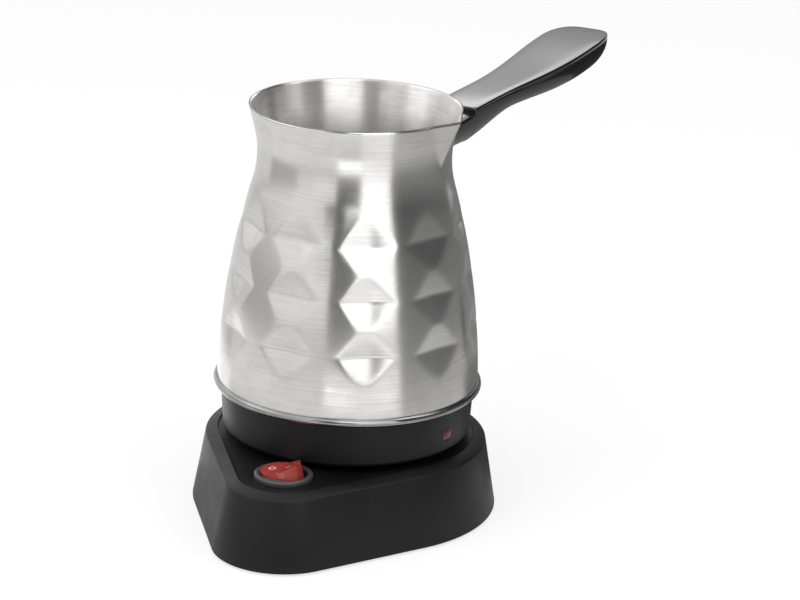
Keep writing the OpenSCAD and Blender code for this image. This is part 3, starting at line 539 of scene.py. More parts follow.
class Palette:
    """Every finish of the coffee maker, named for its material and how its surface is made.

    After the name come colour, roughness, second colour, grain size, grain depth and patch size.
    """

    # Brushed stainless sheet: light, with hairlines round the pot and upright reflections
    pot_outside = BrushedSteel(
        "brushed_stainless_outside", "#dddcdb", 0.225, "#cbcac9", 0.6, 0.005, 9.0, metallic=1.0,
        line_mm=0.34, run_mm=22.0, roughness_spread=0.05, anisotropy=0.4)
    # Drawn stainless inside the pot: the press draws its highlights out upright; its colour is
    # painted paler than the outside's steel, as painted light that brightens the inside of the pot
    pot_inside_painted_light = BrushedSteel(
        "drawn_stainless_inside_painted_light", "#f4f2f0", 0.34, "#dcd9d6", 0.6, 0.01, 6.0, metallic=1.0,
        line_mm=0.6, run_mm=12.0, anisotropy=0.95)
    # Sheared edge of the stainless sheet at the rim: duller than its faces, its colour painted
    # darker and greyer as painted shade, so the rim shows as a thin dark line
    rim_edge_painted_shade = Finish(
        "sheared_stainless_edge_painted_shade", "#7a7876", 0.4, "#686664", 0.4, 0.01, 4.0, metallic=1.0)
    # Polished stainless bead: bright and nearly a mirror
    polished = Finish(
        "polished_stainless", "#acacac", 0.2, "#949494", 0.8, 0.004, 14.0, metallic=1.0,
        roughness_spread=0.05)
    # Zinc-plated steel: plain grey metal with a faint cloud
    zinc = Finish("zinc_plated_steel", "#b8b9ba", 0.36, "#a6a7a6", 0.5, 0.006, 4.0, metallic=1.0)
    # Rolled aluminium plate: pale, soft metal
    aluminium = Finish("rolled_aluminium", "#cfd0d1", 0.42, "#bfc0c1", 0.7, 0.01, 8.0, metallic=1.0)
    # Annealed heater sheath: dull brown-grey oxide
    sheath = Finish(
        "annealed_sheath_steel", "#6b625c", 0.55, "#4d4642", 0.5, 0.02, 5.0, metallic=0.8)
    # Turned and stamped brass contacts: warm yellow metal
    brass = Finish("stamped_brass", "#d9b667", 0.30, "#c7a052", 0.5, 0.006, 3.0, metallic=1.0)
    # Spark-eroded polypropylene of the collar and the hub: near black with a soft sheen
    collar = Finish(
        "satin_polypropylene", "#0f0f11", 0.42, "#141416", 0.5, 0.012, 18.0, specular=0.28)
    # Spark-eroded ABS of the base: black with a fine even grain that greys it at a slant
    base = Finish("grained_abs", "#0d0d0f", 0.44, "#121214", 0.55, 0.016, 22.0, specular=0.32)
    # Polished phenolic moulding of the handle: deep black under a wet gloss
    handle = Finish(
        "polished_phenolic", "#0d0d0f", 0.16, "#111113", 1.6, 0.003, 20.0, ior=1.6,
        roughness_spread=0.03, coat=0.7, coat_roughness=0.06)
    # Unpolished nylon of the pot's connector and the switch's plunger: dark grey and dry
    connector = Finish("glass_filled_nylon", "#37373a", 0.6, "#303033", 0.4, 0.02, 10.0)
    # Brown phenolic of the thermostat and the live lead's cover: warm and half glossy
    phenolic = Finish("brown_phenolic", "#6a3d26", 0.4, "#5a321e", 0.6, 0.01, 6.0)
    # Nylon of the switch: dark grey, a little smoother than the base
    switch = Finish("moulded_nylon", "#48484a", 0.40, "#424244", 0.4, 0.008, 8.0)
    # Red polycarbonate of the rocker: clear gloss over a deep red
    rocker = ClearMoulding(
        "red_polycarbonate", "#b5443c", 0.28, "#9c3a36", 1.2, 0.003, 5.0, coat=0.35,
        roughness_spread=0.05)
    # Dark red polycarbonate of the unlit pilot lens: a nearly black red under gloss
    lens = ClearMoulding(
        "dark_red_polycarbonate", "#5c1a20", 0.25, "#4a1217", 0.8, 0.003, 3.0, coat=0.4,
        roughness_spread=0.04)
    # Neon lamp glass: smooth, with an orange cast
    neon = Finish("neon_lamp_glass", "#d8a58c", 0.12, "#c99278", 1.0, 0.002, 2.0, coat=0.5)
    # White pad print of the rocker's marks: a flat pale ink, warmed by the red below it
    print_white = Finish("white_pad_print", "#f0dcd8", 0.4, "#e8cfca", 0.3, 0.004, 1.0)
    # Glass-fibre sleeving of the pot's leads: off-white with a diagonal weave
    sleeving = Braid("glass_fibre_sleeving", "#e6e3da", 0.7, "#cfcbc0", 0.6, 0.05, 14.0)
    # Soft rubber of the feet and the cord bush: matt black
    rubber = Finish("moulded_rubber", "#222222", 0.75, "#2a2a29", 0.6, 0.02, 6.0)


# ------------------------------------------------------------------ the pot


def smooth_max(a: float, b: float, width: float) -> float:
    """The larger of two values, rounded over width where they cross."""
    return (a + b + math.sqrt((a - b) ** 2 + width ** 2)) / 2


def ease(t: float) -> float:
    """A smooth step from 0 to 1."""
    t = min(1.0, max(0.0, t))
    return t * t * (3 - 2 * t)


@dataclass
class Pot:
    """The pressed and drawn pot, its trim ring and the handle's saddle."""

    turn: float = -5.0
    ring_z: float = 50.5
    floor_z: float = 51.0
    foot_r: float = 52.6
    neck_r: float = 38.4
    neck_h: float = 95.7
    rim_h: float = 115.5
    neck_curve_r: float = 42.0
    flare_curve_r: float = 38.0
    flare_angle: float = 14.0
    sheet_t: float = 0.7
    foot_corner: float = 1.2
    belly_below_ring: float = 3.0
    columns: int = 10
    rows: int = 3
    row_h: float = 27.4
    row_pitch: float = 21.3
    diamond_w: float = 22.5
    diamond_h: float = 20.8
    diamond_d: float = 2.0
    diamond_soft: float = 0.15
    ridge_soft: float = 0.45
    spout_out: float = 4.2
    spout_depth: float = 19.5
    spout_half_angle: float = 21.0
    spout_soft: float = 0.2
    spout_fade: float = 6.0
    spout_lead: float = 3.0
    rim_clear: float = 0.35
    steps: int = 360
    floor_rings: tuple[float, ...] = (0.0, 8.0, 16.0, 24.0, 32.0, 40.0, 46.0)
    foot_row: float = 2.2
    foot_rows: int = 6
    fine_row: float = 0.8875
    fine_below: int = 14
    fine_above: int = 72
    lip_row: float = 1.05
    saddle_t: float = 1.2
    tool_row: float = 5.0
    tool_over: float = 2.0
    tool_steps: int = 180

    @property
    def neck_z(self) -> float:
        """Height of the neck above the table."""
        return self.ring_z + self.neck_h

    @property
    def rim_z(self) -> float:
        """Height of the rim above the table."""
        return self.ring_z + self.rim_h

    def radius_at(self, z: float) -> float:
        """Outer radius of the plain pot at a height: belly, neck and flare arcs, straight lip."""
        belly_z = self.ring_z - self.belly_below_ring
        drop, rise = self.foot_r - self.neck_r, self.neck_z - belly_z
        both = (drop * drop + rise * rise) / (2 * drop)
        belly_curve = both - self.neck_curve_r
        tangent_z = belly_z + belly_curve * rise / both
        if z <= tangent_z:
            return self.foot_r - belly_curve + math.sqrt(belly_curve ** 2 - (z - belly_z) ** 2)
        flare = math.radians(self.flare_angle)
        flare_end_z = self.neck_z + self.flare_curve_r * math.sin(flare)
        if z <= flare_end_z:
            curve = self.neck_curve_r if z <= self.neck_z else self.flare_curve_r
            return self.neck_r + curve - math.sqrt(curve ** 2 - (z - self.neck_z) ** 2)
        flare_end_r = self.neck_r + self.flare_curve_r * (1 - math.cos(flare))
        return flare_end_r + math.tan(flare) * (z - flare_end_z)

    def spout_radius(self, angle: float, z: float) -> float:
        """Radius of the spout's wedge at an angle from its crease and a height."""
        rim_r = self.radius_at(self.rim_z)
        half = math.radians(self.spout_half_angle)
        tip = Vector((rim_r + self.spout_out, 0, self.rim_z))
        crease = Vector((self.neck_r, 0, self.rim_z - self.spout_depth))
        side = Vector((rim_r * math.cos(half), rim_r * math.sin(half), self.rim_z))
        normal = (tip - crease).cross(side - crease)
        across = normal.x * math.cos(angle) + normal.y * abs(math.sin(angle))
        return (normal.dot(tip) - normal.z * z) / across

    def dent(self, angle: float, r: float, z: float) -> float:
        """Depth of the pressed diamonds at an angle and a height."""
        step = math.tau / self.columns
        across = (angle / step) % 1.0 - 0.5
        soft = self.ridge_soft
        u = math.hypot(across * step * r / (self.diamond_w / 2), soft) - soft
        u /= math.hypot(1.0, soft) - soft
        row = round((z - self.ring_z - self.row_h) / self.row_pitch)
        row = min(self.rows - 1, max(0, row))
        v = abs(z - self.ring_z - self.row_h - row * self.row_pitch) / (self.diamond_h / 2)
        return self.diamond_d * smooth_max(1.0 - u - v, 0.0, self.diamond_soft)

    def heights(self) -> list[float]:
        """Heights of the rows of faces: fine over the diamonds, and one row on each middle."""
        foot_z, middle = self.floor_z + self.foot_corner, self.ring_z + self.row_h
        heights = [foot_z + self.foot_row * i for i in range(self.foot_rows)]
        fine = range(-self.fine_below, self.fine_above + 1)
        heights += [middle + self.fine_row * k for k in fine]
        top, rest = heights[-1], self.rim_z - self.rim_clear - heights[-1]
        spare = round(rest / self.lip_row)
        return heights + [top + rest * i / spare for i in range(1, spare + 1)]

    def build_shell(self) -> Object:
        """Builds the sheet: spun, pressed into diamonds and a spout, then given its wall."""
        foot_z = self.floor_z + self.foot_corner
        flat = [*self.floor_rings, self.radius_at(foot_z) - self.foot_corner]
        profile = [(r, self.floor_z) for r in flat]
        profile += [(self.radius_at(z), z) for z in self.heights()]
        bm = revolve(profile, self.steps)
        first_row = foot_z - HAIR
        for vert in bm.verts:
            z = vert.co.z
            if z < first_row:
                continue
            angle = math.atan2(vert.co.y, vert.co.x)
            r = math.hypot(vert.co.x, vert.co.y)
            pressed = r - self.dent(angle % math.tau, r, z)
            beside = (abs(math.degrees(angle)) - self.spout_half_angle) / self.spout_fade
            if beside < 1.0 and z > self.rim_z - self.spout_depth - self.spout_lead:
                share = 1.0 - ease(beside)
                pressed += (smooth_max(r, self.spout_radius(angle, z), self.spout_soft) - r) * share
            vert.co.x *= pressed / r
            vert.co.y *= pressed / r
        bm = moved(bm, turned(self.turn, "Z"))
        # The inside's finish is painted paler than the outside's, as painted light
        finishes = [Palette.pot_outside, Palette.pot_inside_painted_light, Palette.rim_edge_painted_shade]
        piece = make_piece(
            "pressed_pot", bm, "pot", finishes, ["pot_shell"], FORMED_CREASE_DEG)
        wall = piece.modifiers.new("sheet", "SOLIDIFY")
        wall.thickness, wall.offset, wall.use_even_offset = self.sheet_t * MM, -1.0, True
        # The rim's finish is painted darker than the sheet's faces, as painted shade
        wall.material_offset, wall.material_offset_rim = 1, 2
        return piece

    def solid(self, grow: float) -> Body:
        """The pot's outer form as a tool body, moved out by grow."""
        top, rows = self.rim_z + self.tool_over, round((self.rim_z - self.floor_z) / self.tool_row)
        heights = [self.floor_z + self.tool_row * i for i in range(rows)] + [top]
        profile = [(self.radius_at(z) + grow, z) for z in heights]
        return revolve([(0.0, self.floor_z), *profile, (0.0, top)], self.tool_steps)


@dataclass
class Handle:
    """The moulded ferrule and the moulded grip, on a rising axis of their own."""

    pot: Pot
    ferrule_len: float = 48.6
    up: float = 0.8
    rise: float = 3.8
    sway: float = 2.0
    grip_len: float = 138.45
    root_w: float = 10.0
    end_w: float = 14.5
    root_t: float = 16.4
    waist_t: float = 11.4
    end_t: float = 16.0
    waist_at: float = 41.5
    broad_in: float = 30.5
    round_len: float = 26.3
    neck_len: float = 30.0
    blunt_w: float = 0.4
    blunt_t: float = 0.3
    shoulder: float = 2.2
    squareness: float = 0.34
    ferrule_squareness: float = 0.85
    belly_side: float = 0.8
    belly_round: float = 1.0
    joint_r: float = 0.45
    sides: int = 64
    ferrule_w: float = 9.7
    ferrule_top: float = 1.8
    ferrule_bottom: float = 16.1
    ferrule_root_bottom: float = 12.4
    ferrule_stand_off: float = 2.6
    ferrule_bury: float = 6.0
    screw_x: float = 13.0
    screw_well_r: float = 3.65
    screw_sink: float = 3.0
    edge_rows: int = 4
    ferrule_rows: int = 16
    grip_rows: int = 40
    end_rows: int = 20
    least_end: float = 0.004

    def place(self) -> Matrix:
        """Matrix from the handle's frame to the CAD frame, in millimetres."""
        out = at(self.pot.neck_r + self.ferrule_len, 0, self.pot.neck_z + self.up)
        return turned(self.pot.turn + 90, "Z") @ out @ turned(-self.rise, "Y")

    def section(self, x: float, w: float, top: float, bottom: float, squareness: float,
                inset: float = 0.0) -> list[Vector]:
        """One section: a flat top with shoulders and a deep round belly.

        Args:
            x: Place along the handle.
            w: Half of the width.
            top: Height of the top.
            bottom: Height of the belly's lowest line.
            squareness: Power of the shoulders, 1 for round ones and less for tighter ones.
            inset: How far the whole section is drawn in.

        Returns:
            The section's points.
        """
        w, top, bottom = w - inset, top - inset, bottom + inset
        middle = top - min(self.shoulder, (top - bottom) / 3)
        ring = []
        for i in range(self.sides):
            c, s = math.cos(math.tau * i / self.sides), math.sin(math.tau * i / self.sides)
            if s >= 0:
                y = math.copysign(w * abs(c) ** squareness, c)
                z = middle + (top - middle) * s ** squareness
            else:
                y = w * math.copysign(abs(c) ** self.belly_side, c)
                z = middle - (middle - bottom) * (-s) ** self.belly_round
            ring.append(Vector((x, y, z)))
        return ring

    def joint_inset(self, x: float) -> float:
        """How far a section at a distance x from the joint's face is drawn in to round its edge."""
        t = max(0.0, 1 - x / self.joint_r)
        return self.joint_r * (1 - math.sqrt(1 - t * t))

    def rounding(self, x: float, power: float) -> float:
        """How far the grip's rounded end has closed at x, from 1 down to nearly 0."""
        start = self.grip_len - self.round_len
        if x < start:
            return 1.0
        return max(self.least_end, 1 - ((x - start) / self.round_len) ** 2) ** power

    def half_width(self, x: float) -> float:
        """Half of the grip's width at x."""
        broad = self.grip_len - self.broad_in
        swell = ease((x - self.neck_len) / (broad - self.neck_len))
        return (self.root_w + (self.end_w - self.root_w) * swell) * self.rounding(x, self.blunt_w)

    def thickness(self, x: float) -> float:
        """The grip's thickness at x: deep root, thin waist, full end."""
        broad = self.grip_len - self.broad_in
        if x < self.waist_at:
            t = self.root_t + (self.waist_t - self.root_t) * ease(x / self.waist_at)
        else:
            swell = ease((x - self.waist_at) / (broad - self.waist_at))
            t = self.waist_t + (self.end_t - self.waist_t) * swell
        return t * self.rounding(x, self.blunt_t)

    def top(self, x: float) -> float:
        """Height of the grip's top at x: it dips half-way along and drops at the rounded end."""
        dip = self.sway * math.sin(math.pi * x / self.grip_len) ** 2
        return -dip - self.end_t * self.blunt_t * (1 - self.rounding(x, self.blunt_t))

    def build_grip(self) -> Object:
        """Builds the grip with the well of its screw."""
        start, edge = self.grip_len - self.round_len, self.edge_rows
        rows, end = self.grip_rows, self.end_rows
        xs = [self.joint_r * i / edge for i in range(edge + 1)]
        xs += [start * i / rows for i in range(1, rows + 1)]
        xs += [
            start + self.round_len * math.sin(math.pi / 2 * i / end) for i in range(1, end + 1)]
        sections = [
            self.section(x, self.half_width(x), self.top(x), self.top(x) - self.thickness(x),
                         self.squareness, self.joint_inset(x))
            for x in xs
        ]
        deep = self.top(self.screw_x) - self.thickness(self.screw_x) + self.screw_sink
        well = moved(drum(self.screw_well_r, -self.root_t - 1, deep, FEW), at(self.screw_x, 0, 0))
        bm = moved(carve(loft(sections), well), self.place())
        return make_piece("moulded_grip", bm, "pot", [Palette.handle],
                          ["handle_grip"], FORMED_CREASE_DEG)

    def build_ferrule(self) -> Object:
        """Builds the ferrule and trims its root to the saddle on the pot."""
        root = self.ferrule_len - self.ferrule_stand_off
        reach, rows, edge = root + self.ferrule_bury, self.ferrule_rows, self.edge_rows
        xs = [-reach * (1 - i / rows) for i in range(rows)]
        xs += [self.joint_r * (i / edge - 1) for i in range(edge + 1)]
        sections = []
        for x in xs:
            t = -x / root
            bottom = self.ferrule_bottom + (self.ferrule_root_bottom - self.ferrule_bottom) * t
            sections.append(self.section(
                x, self.ferrule_w, -self.ferrule_top, -bottom, self.ferrule_squareness,
                self.joint_inset(-x)))
        bm = carve(moved(loft(sections), self.place()), self.pot.solid(self.pot.saddle_t))
        return make_piece("moulded_ferrule", bm, "pot", [Palette.handle],
                          ["handle_ferrule"], FORMED_CREASE_DEG)


@dataclass
class PilotLens:
    """The small domed lens in the collar's side."""

    pot: Pot
    collar_z: float = 32.6
    collar_mid_r: float = 50.5
    wall: float = 2.2
    r: float = 3.0
    lens_h: float = 8.2
    turn: float = -9.0
    dome: float = 0.7
    flange: float = 0.5
    flange_back: float = 1.6
    flange_front: float = 0.6
    dome_rows: int = 8

    def build(self) -> Object:
        """Builds the lens, its dome outwards."""
        curve, wide = self.r * 2, self.r + self.flange
        back, front = -self.wall - self.flange_back, -self.wall - self.flange_front
        profile: Profile = [(0, back), (wide, back), (wide, front), (self.r, front)]
        for i in range(self.dome_rows + 1):
            r = self.r * (1 - i / self.dome_rows)
            profile.append((r, self.dome - curve + math.sqrt(curve ** 2 - r * r)))
        out = at(self.collar_mid_r, 0, self.collar_z + self.lens_h)
        place = turned(self.pot.turn + self.turn, "Z") @ out @ turned(90, "Y")
        bm = moved(revolve(profile, FEW), place)
        return make_piece("lens_dome", bm, "pot", [Palette.lens], ["pilot_lens"])


# ------------------------------------------------------------------ the base


@dataclass
class Base:
    """The teardrop housing of the base: leaning wall, sloping band and a deck set below it."""

    rear_r: float = 61.9
    tip_r: float = 27.9
    tip_reach: float = 59.5
    skirt_z: float = 0.8
    wall_h: float = 28.8
    lean: float = 5.15
    band_w: float = 4.95
    band_rise: float = 2.0
    deck_drop: float = 0.8
    wall: float = 2.2
    edge_r: float = 1.1
    lip_r: float = 0.35
    hub_hole_r: float = 16.05
    switch_hole_r: float = 10.1
    bush_z: float = 12.5
    bush_hole_r: float = 5.55
    bush_hole_half: float = 8.0
    bush_hole_steps: int = 64
    boss_r: float = 9.0
    boss_t: float = 4.0
    boss_edge_r: float = 0.5
    skirt_r: float = 0.4
    step_lean: float = 0.05
    step_r: float = 0.25
    deck_margin: float = 2.0
    cut_over: float = 1.0
    points: int = 240

    @property
    def deck_z(self) -> float:
        """Height of the deck."""
        return self.wall_h + self.band_rise - self.deck_drop

    def ring(self, inset: float, z: float) -> list[Vector]:
        """The teardrop at an inset and a height: one point a direction of its outline."""
        rear, tip = self.rear_r - inset, self.tip_r - inset
        switch = (self.rear_r - self.tip_r) / self.tip_reach
        ring = []
        for i in range(self.points):
            a = math.tau * (i + 0.5) / self.points
            out = Vector((math.cos(a), math.sin(a), 0))
            front = -math.sin(a) > switch
            centre = Vector((0, -self.tip_reach, 0)) if front else Vector()
            ring.append(centre + out * (tip if front else rear) + Vector((0, 0, z)))
        return ring

    def lean_at(self, z: float) -> float:
        """How far the wall leans in at a height."""
        return self.lean * z / self.wall_h

    def build_housing(self) -> Object:
        """Builds the housing with its rounded edges, its three holes and the cord bush's boss."""
        ceiling = self.deck_z - self.wall
        inner = self.lean + self.band_w
        path = [
            (self.wall + self.lean_at(ceiling), ceiling),
            (self.wall + self.lean_at(self.skirt_z), self.skirt_z),
            (self.lean_at(self.skirt_z), self.skirt_z),
            (self.lean, self.wall_h),
            (inner, self.wall_h + self.band_rise),
            (inner + self.step_lean, self.deck_z),
            (inner + self.deck_margin, self.deck_z),
        ]
        radii = [0, 0, self.skirt_r, self.edge_r, self.lip_r, self.step_r, 0]
        bm = loft([self.ring(inset, z) for inset, z in soften(path, radii)])
        boss_y = self.rear_r - self.lean_at(self.bush_z - self.boss_r)
        boss = [(0, -self.boss_t), (self.boss_r, -self.boss_t), (self.boss_r, 0), (0, 0)]
        place = at(0, boss_y, self.bush_z) @ turned(-90, "X")
        boss = moved(revolve(soften(boss, [0, 0, self.boss_edge_r, 0]), SOME), place)
        half = self.bush_hole_half
        bore = moved(drum(self.bush_hole_r, -half, half, self.bush_hole_steps), place)
        low, high = ceiling - self.cut_over, self.deck_z + self.cut_over
        switch_hole = moved(drum(self.switch_hole_r, low, high), at(0, -self.tip_reach, 0))
        bm = carve(bm, boss, Cut.JOIN)
        for tool in (bore, drum(self.hub_hole_r, low, high, MANY), switch_hole):
            bm = carve(bm, tool)
        return make_piece(
            "housing_shell", bm, "base", [Palette.base], ["base_housing"])


class Mark(Enum):
    """The generic marks of a rocker."""

    OFF = "O"
    ON = "I"


@dataclass
class Switch:
    """The round rocker switch in the base's tip."""

    base: Base
    bezel_r: float = 11.5
    bezel_t: float = 2.0
    barrel_r: float = 10.0
    barrel_d: float = 15.5
    cavity_r: float = 9.4
    cavity_half: float = 8.25
    floor_t: float = 1.5
    tilt: float = 16.0
    half: float = 7.8
    r: float = 8.1
    pivot_drop: float = 3.0
    stand: float = 0.35
    dish: float = 11.5
    skirt: float = 1.5
    edge: float = 0.45
    valley_w: float = 1.4
    bezel_side: float = 0.5
    bezel_slope: float = 0.9
    bezel_foot_r: float = 0.15
    bezel_edge_r: float = 0.5
    mouth_h: float = 0.45
    mouth_w: float = 0.55
    mouth_over: float = 0.1
    slab_w: float = 30.0
    slab_h: float = 40.0
    steps: int = MANY
    mark_h: float = 0.03
    mark_r: float = 1.5
    mark_line: float = 0.5
    bar_len: float = 2.4
    bar_corner: float = 0.2
    off_at: float = -3.6
    on_at: float = 3.4

    @property
    def bezel_top(self) -> float:
        """Height of the bezel's top."""
        return self.base.deck_z + self.bezel_t

    @property
    def corner_h(self) -> float:
        """Height of the rocker's end edge above its pivot, in the rocker's frame."""
        tilt = math.radians(self.tilt)
        return (self.pivot_drop + self.stand + self.half * math.sin(tilt)) / math.cos(tilt)

    def place(self) -> Matrix:
        """Matrix from the rocker's frame to the CAD frame, at rest."""
        pivot = at(0, -self.base.tip_reach, self.bezel_top - self.pivot_drop)
        return pivot @ turned(-self.tilt, "Y")

    def face_z(self, x: float) -> float:
        """Height of the rocker's dished faces at x, in its own frame."""
        return self.corner_h - (self.half - abs(x)) * math.tan(math.radians(self.dish))

    def build_body(self) -> Object:
        """Builds the switch body: barrel, rounded bezel and the rocker's cavity."""
        deck, top, low = self.base.deck_z, self.bezel_top, self.base.deck_z - self.barrel_d
        profile = soften(
            [(0, low), (self.barrel_r, low), (self.barrel_r, deck), (self.bezel_r, deck),
             (self.bezel_r, top - self.bezel_side), (self.bezel_r - self.bezel_slope, top),
             (0, top)],
            [0, 0, 0, self.bezel_foot_r, self.bezel_edge_r, self.bezel_edge_r, 0])
        floor, over = low + self.floor_t, top + self.mouth_over
        room = revolve([
            (0, floor), (self.cavity_r, floor), (self.cavity_r, top - self.mouth_h),
            (self.cavity_r + self.mouth_w, over), (0, over)], self.steps)
        slab = box(self.slab_w, 2 * self.cavity_half, self.slab_h, low + self.slab_h / 2)
        bm = carve(revolve(profile, self.steps), carve(room, slab, Cut.KEEP))
        bm = moved(bm, at(0, -self.base.tip_reach, 0))
        return make_piece(
            "switch_bezel", bm, "base", [Palette.switch], ["switch_body"])

    def build_rocker(self) -> Object:
        """Builds the rocker's cap: round sides, flat ends and two dished faces."""
        outline, upward = [], 0.7
        for i in range(self.steps):
            a = math.tau * i / self.steps
            x, y = self.r * math.cos(a), self.r * math.sin(a)
            outline.append((max(-self.half, min(self.half, x)), y))
        low = [Vector((x, y, -self.skirt)) for x, y in outline]
        high = [Vector((x, y, self.face_z(x))) for x, y in outline]
        bm = loft([low, high])
        everything = bm.verts[:] + bm.edges[:] + bm.faces[:]
        bmesh.ops.bisect_plane(bm, geom=everything, plane_co=(0, 0, 0), plane_no=(1, 0, 0))
        tops = {f for f in bm.faces if f.normal.z > upward}
        rim, valley = (
            [e for e in bm.edges if sum(f in tops for f in e.link_faces) == count]
            for count in (1, 2))
        bevel(bm, valley, self.valley_w, 6)
        bevel(bm, [e for e in rim if e.is_valid], self.edge, 4)
        bm = moved(bm, self.place())
        return make_piece("rocker_cap", bm, "rocker", [Palette.rocker], ["rocker"])

    def build_mark(self, mark: Mark) -> Object:
        """Builds one printed mark as a thin raised pad on the rocker's face.

        Args:
            mark: Which mark.

        Returns:
            The mark's piece.
        """
        h, half_h = self.mark_h, self.mark_h / 2
        if mark is Mark.OFF:
            outer, inner = self.mark_r, self.mark_r - self.mark_line
            bm = revolve([(inner, 0), (outer, 0), (outer, h), (inner, h), (inner, 0)], FEW)
            x = self.off_at
        else:
            bm = box(self.bar_len, self.mark_line, h, half_h)
            upright = [e for e in bm.edges if abs(e.verts[0].co.z - e.verts[1].co.z) > half_h]
            bevel(bm, upright, self.bar_corner, 3)
            x = self.on_at
        seat = at(x, 0, self.face_z(x)) @ turned(self.dish if x < 0 else -self.dish, "Y")
        bm = moved(bm, self.place() @ seat)
        name = f"rocker_mark_{mark.name.lower()}"
        return make_piece(name, bm, "rocker", [Palette.print_white])


# ------------------------------------------------------------------ carried-over nodes


CARRIED: tuple[tuple[Finish, tuple[str, ...]], ...] = (
    (Palette.polished, ("trim_ring",)),
    (Palette.aluminium, ("heater_plate",)),
    (Palette.sheath, ("heating_element",)),
    (Palette.phenolic, ("boil_dry_thermostat", "switch_lead")),
    (Palette.zinc, (
        "spacer_posts", "collar_screws", "connector_screws", "handle_bracket", "handle_screw",
        "cover_screws", "hub_screws", "plunger_spring")),
    (Palette.collar, ("collar", "collar_plate", "hub_socket")),
    (Palette.connector, ("pot_connector", "rocker_plunger")),
    (Palette.brass, (
        "centre_pin", "contact_rings", "centre_sleeve", "hub_contacts", "switch_terminals",
        "contact_blade")),
    (Palette.sleeving, ("pot_leads",)),
    (Palette.neon, ("pilot_lamp", "switch_lamp")),
    (Palette.base, ("bottom_cover",)),
    (Palette.rubber, ("rubber_feet", "cord_bush")),
)


def dress_nodes() -> None:
    """Gives each CAD node that stays in view its finish."""
    for finish, names in CARRIED:
        for node in (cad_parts[name] for name in names):
            if not node.material_slots:
                node.data.materials.append(finish.material())
            for slot in node.material_slots:
                slot.material = finish.material()
        LOG.info("dressed %s in %s", ", ".join(names), finish.name)


# ------------------------------------------------------------------ the studio


@dataclass(frozen=True)
class Card:
    """A curved card that only reflections see: upright, or flat on the floor when far is given.

    The angles are in degrees from the camera, positive to the right. The level runs from level
    at the bottom, or the near edge, to top_level at the top, or the far edge.
    """

    start: float
    end: float
    level: float
    top_level: float
    low: float = 0.0
    high: float = 900.0
    r: float = 330.0
    far: float = 0.0

    def build(self, name: str, azimuth: float) -> Object:
        """Builds the card.

        Args:
            name: The card's name.
            azimuth: The camera's azimuth in degrees.

        Returns:
            The card, not yet staged.
        """
        wide, chord_deg = self.end - self.start, 6
        steps = max(2, round(wide / chord_deg))
        points = []
        for i in range(steps + 1):
            a = math.radians(azimuth + self.start + wide * i / steps)
            points.append(Vector((math.sin(a) * self.r, -math.cos(a) * self.r, self.low)))
        bm = chain(points)
        fresh = new_verts(bmesh.ops.extrude_edge_only(bm, edges=bm.edges[:])["geom"])
        if self.far:
            bmesh.ops.scale(bm, verts=fresh, vec=(self.far / self.r, self.far / self.r, 1))
        else:
            bmesh.ops.translate(bm, verts=fresh, vec=(0, 0, self.high - self.low))
        bmesh.ops.scale(bm, vec=(MM, MM, MM), verts=bm.verts)
        sheet = add_body(name, bm, self.material(name))
        sheet.visible_camera = sheet.visible_diffuse = sheet.visible_shadow = False
        sheet.visible_transmission = sheet.visible_volume_scatter = False
        return sheet

    def material(self, name: str) -> Material:
        """Builds the card's glow, graded from its bottom or near edge to its other edge."""
        material = bpy.data.materials.new(name)
        tree = emptied_tree(material)
        place = add_node(tree, "TexCoord").outputs["Object"]
        if self.far:
            node = add_node(tree, "VectorMath", {0: place}, operation="LENGTH")
            along, near, end = node.outputs["Value"], self.r, self.far
        else:
            node = add_node(tree, "SeparateXYZ", {0: place})
            along, near, end = node.outputs["Z"], self.low, self.high
        level = add_node(tree, "MapRange", {
            "Value": along, "From Min": near * MM, "From Max": end * MM,
            "To Min": self.level, "To Max": self.top_level})
        glow = add_node(tree, "Emission", {
            "Color": WHITE, "Strength": level.outputs["Result"]})
        add_node(tree, "OutputMaterial", {"Surface": glow.outputs[0]})
        return material


